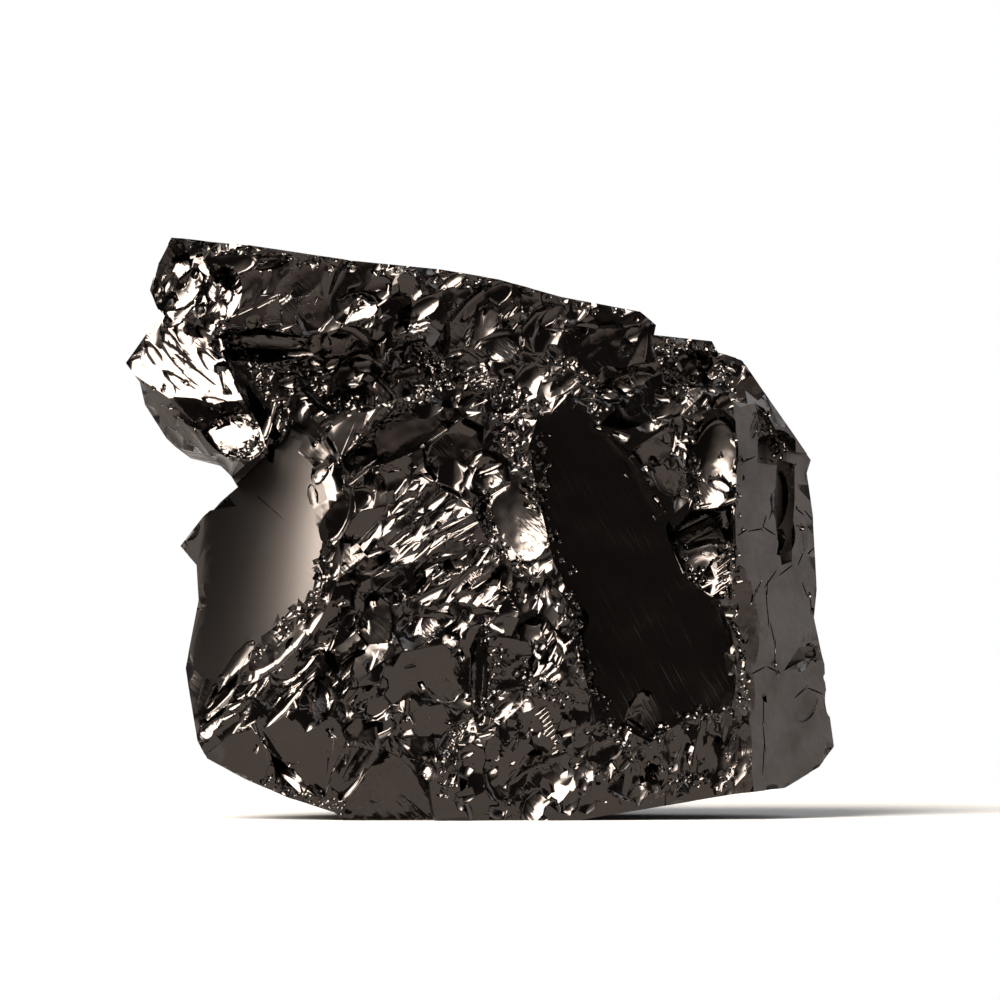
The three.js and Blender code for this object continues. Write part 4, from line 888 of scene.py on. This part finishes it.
def glassy(tree, reliefs, roughness, colour=CARBON):
    """Glassy carbon with some reliefs laid over each other."""
    height = reliefs[0]
    for relief in reliefs[1:]:
        height = add(tree, MATH, _0=height, _1=relief)
    bump = add(tree, "ShaderNodeBump", Height=height, Distance=1.0)
    shader = add(tree, "ShaderNodeBsdfPrincipled", Base_Color=colour, Roughness=roughness, IOR=CARBON_IOR,
                 Specular_Tint=WARM_SHINE, Normal=bump)
    add(tree, "ShaderNodeOutputMaterial", Surface=shader)


# Noble shungite, freshly broken by a blow, as glass breaks. It is black and mirror-bright, so the eye sees
# sharp reflections, drawn out by faint waves, by hackle lines along the lie and by crumbled spots. The hackle
# of the real stone is finer: 0.28 mm is the finest that shows.
def fresh_fracture(lie):
    material, tree = new_material("fresh_fracture_%d" % lie)
    place = object_place(tree, lie)
    along = object_place(tree, lie, stretch=9)
    hackle = waves(tree, along, size=0.28, height=0.05, detail=1)
    hackle = add(tree, MATH, TIMES, _0=hackle, _1=patches(tree, place, size=4, least=0.5, most=0.62))
    crumble = tiny_facets(tree, place, size=0.7, tilt=0.16)
    crumble = add(tree, MATH, TIMES, _0=crumble, _1=patches(tree, place, size=3.2, least=0.56, most=0.64))
    glassy(tree, [waves(tree, place, size=2.2, height=0.14, detail=1), hackle, crumble], roughness=0.12)
    return material


# Noble shungite, parted along an old joint that water has etched. It gives a soft grey sheen with no mirror
# image, faintly streaked from the upper left to the lower right.
def satin_facet():
    material, tree = new_material("satin_facet")
    place = object_place(tree, -45)
    along = object_place(tree, -45, stretch=12)
    etching = waves(tree, place, size=0.15, height=0.003)
    glassy(tree, [etching, waves(tree, along, size=0.4, height=0.006)], roughness=0.3)
    return material


# Noble shungite, slid against its neighbour and polished by it. It is a deep black mirror, with fine bright
# scratches down its fall, and swells so little that it reflects one even part of the room.
def dark_mirror():
    material, tree = new_material("scratched_mirror")
    place = object_place(tree, 0)
    along = object_place(tree, -62, stretch=26)
    scratch = waves(tree, along, size=0.16, height=0.012, detail=0)
    scratch = add(tree, MATH, TIMES, _0=scratch, _1=patches(tree, along, size=0.5, least=0.5, most=0.6))
    glassy(tree, [scratch, waves(tree, place, size=7, height=0.4, detail=1)], roughness=0.16)
    return material


# Noble shungite, long open to the weather, which has dulled it and left a thin brown film. It is stained from
# satin to dull, and its level bedding and steep grain catch the light in short steps.
def weathered_flank():
    material, tree = new_material("weathered_flank")
    place = object_place(tree, 0)
    swell = waves(tree, place, size=3, height=0.3, detail=3)
    grit = waves(tree, place, size=0.3, height=0.01)
    bedding = waves(tree, object_place(tree, 0, stretch=3), size=0.8, height=0.05)
    grain = waves(tree, object_place(tree, 84, stretch=4), size=0.5, height=0.02)
    stain = add(tree, "ShaderNodeTexNoise", Vector=place, Scale=1 / (7 * MM), Detail=5.0, Roughness=0.65)
    dulled = add(tree, "ShaderNodeMapRange", Value=stain, From_Min=0.4, From_Max=0.66, To_Min=0.26,
                 To_Max=0.62)
    film = add(tree, "ShaderNodeMix", {"data_type": "RGBA"}, _0=stain, _6=FILM, _7=CARBON)
    glassy(tree, [swell, grit, bedding, grain], roughness=dulled, colour=film.outputs[2])
    return material


UPRIGHT_PART = [(56, 71), (64, 71), (76, 68), (76, 80), (56, 82)]
SATIN_PART = [(16, 54), (23, 48), (27, 45), (28.4, 43.4), (30.2, 45), (32.4, 50), (32.8, 54), (32, 58),
    (28, 62.6), (22.4, 68), (19, 68)]
DARK_PART = [(53.6, 40.8), (62, 40.8), (68, 49), (73.8, 60), (73.8, 72), (64, 74.6), (57, 70), (53.2, 50)]
SIDE_PART = [(73, 38), (83, 38), (86, 80), (72, 82)]
# Each finish, the part of the front where it shows, the way its faces face and how closely they do. The first
# is all over the stone, and each of the others lies over those before it.
FINISHES = [
    (fresh_fracture(-46), [], facing(0, 0), 0.0),
    (fresh_fracture(-82), UPRIGHT_PART, facing(0, 0), 0.75),
    (satin_facet(), SATIN_PART, facing(0, 8), 0.87),
    (dark_mirror(), DARK_PART, facing(8, 1), 0.99),
    (weathered_flank(), SIDE_PART, facing(50, 4), 0.75),
]
SMOOTH_BELOW = math.radians(28)  # two faces at a smaller angle shade as one


def is_under(face, outline, way, likeness):
    """Whether a face lies on the front inside an outline and faces about the way given."""
    centre = face.center
    place = (SHEET_LEFT + (centre.x - STONE_LOW.x) / MM, SHEET_TOP + (STONE_HIGH.z - centre.z) / MM)
    return face.normal.dot(way) > likeness and is_inside(place, outline)


def finish_stone(stone):
    """Gives each part its finish, and parts two finishes by a sharp edge."""
    make_active(stone)
    bpy.ops.object.shade_smooth_by_angle(angle=SMOOTH_BELOW)
    stone.data.materials.clear()
    for index, (material, outline, way, likeness) in enumerate(FINISHES):
        stone.data.materials.append(material)
        for face in stone.data.polygons:
            if index and is_under(face, outline, way, likeness):
                face.material_index = index
    finishes_at = {}
    for face in stone.data.polygons:
        for key in face.edge_keys:
            finishes_at.setdefault(key, set()).add(face.material_index)
    for edge in stone.data.edges:
        if len(finishes_at[edge.key]) > 1:
            edge.use_edge_sharp = True
    even = stone.modifiers.new("even_normals", "WEIGHTED_NORMAL")
    even.keep_sharp = True
    bpy.ops.object.modifier_apply(modifier=even.name)


stone = merged_copy(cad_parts["shungite"])
knap(stone)
stone = keep_largest(stone)
finish_stone(stone)
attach(stone, "root")
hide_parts("shungite")

# ---------------------------------------------------------------- table, light and camera

TABLE_RADIUS = 0.12
TABLE_SIDES = 96
CARD = srgb("#a29e9b")
CARD_ROUGHNESS = 0.9
CARD_IOR = 1.2  # low, because card has hardly any gloss


# White card, pressed smooth. It is matt, and lights the stone softly from below.
def white_table():
    clear_selection()
    bpy.ops.mesh.primitive_circle_add(vertices=TABLE_SIDES, radius=TABLE_RADIUS, fill_type="NGON",
                                      location=(0, 0, 0))
    table = bpy.context.object
    table.name = "white_table"
    material, tree = new_material("white_card")
    shader = add(tree, "ShaderNodeBsdfPrincipled", Base_Color=CARD, Roughness=CARD_ROUGHNESS, IOR=CARD_IOR)
    add(tree, "ShaderNodeOutputMaterial", Surface=shader)
    table.data.materials.append(material)


# Lights that fade out smoothly: the way to each, as degrees right of the front and degrees up, how far from
# its middle it is full and where it ends, in degrees, its radiance and its colour.
SOFT_LIGHTS = [
    ((-40, 39), 10, 27, 40.0, srgb("#fffcf5")),
    ((-40, 39), 3, 50, 2.2, srgb("#fffaf1")),
    ((88, 10), 6, 38, 1.7, srgb("#fcfcff")),
    ((100, 55), 10, 45, 2.6, srgb("#edf7ff")),
    ((-100, -5), 20, 50, 0.2, srgb("#fff7f3")),
]
SWEEP_RADIANCE = 1.15  # of the white table as it sweeps up behind the camera
SWEEP_COLOUR = srgb("#fff1ec")
SWEEP_LOW, SWEEP_HIGH = -0.36, -0.03  # sines of the elevations where it starts to fade and is gone
ROOM_RADIANCE = 0.08
BACKDROP_WHITE = srgb("#ffffff")


def studio():
    """Soft light all round the stone, and a white backdrop behind it."""
    world = bpy.data.worlds.new("studio")
    bpy.context.scene.world = world
    world.use_nodes = True
    tree = world.node_tree
    tree.nodes.clear()
    way = add(tree, "ShaderNodeTexCoord").outputs["Generated"]
    height = add(tree, "ShaderNodeSeparateXYZ", _0=way).outputs["Z"]
    sweep = add(tree, "ShaderNodeMapRange", {"interpolation_type": "SMOOTHSTEP"}, Value=height,
                From_Min=SWEEP_LOW, From_Max=SWEEP_HIGH, To_Min=SWEEP_RADIANCE, To_Max=ROOM_RADIANCE)
    light = add(tree, "ShaderNodeBackground", Color=SWEEP_COLOUR, Strength=sweep)
    for place, full, end, radiance, colour in SOFT_LIGHTS:
        toward = add(tree, VECTORS, DOT, _0=way, _1=facing(*place)).outputs["Value"]
        inner, outer = math.cos(math.radians(full)), math.cos(math.radians(end))
        glow = add(tree, "ShaderNodeMapRange", {"interpolation_type": "SMOOTHERSTEP"}, Value=toward,
                   From_Min=outer, From_Max=inner, To_Min=0.0, To_Max=radiance)
        shine = add(tree, "ShaderNodeBackground", Color=colour, Strength=glow)
        light = add(tree, "ShaderNodeAddShader", _0=light, _1=shine)
    backdrop = add(tree, "ShaderNodeBackground", Color=BACKDROP_WHITE, Strength=1.0)
    seen = add(tree, "ShaderNodeLightPath").outputs["Is Camera Ray"]
    mix = add(tree, "ShaderNodeMixShader", _0=seen, _1=light, _2=backdrop)
    add(tree, "ShaderNodeOutputWorld", Surface=mix)
    bpy.context.scene.view_settings.view_transform = "Standard"


CAMERA_DISTANCE = 1.2
SENSOR_WIDTH = 36  # in the camera's own millimetres
VIEW_WIDTH = 100 * MM  # of the sheet that fills the picture
VIEW_PLANE = -9 * MM  # where a millimetre of the stone is a millimetre of the sheet


def camera():
    data = bpy.data.cameras.new("camera")
    data.sensor_width = SENSOR_WIDTH
    data.lens = data.sensor_width * CAMERA_DISTANCE / VIEW_WIDTH
    lens = bpy.data.objects.new("camera", data)
    lens.location = on_sheet(*SHEET_MIDDLE, y=VIEW_PLANE - CAMERA_DISTANCE)
    lens.rotation_euler = (math.pi / 2, 0, 0)
    bpy.context.scene.collection.objects.link(lens)
    bpy.context.scene.camera = lens


white_table()
studio()
camera()
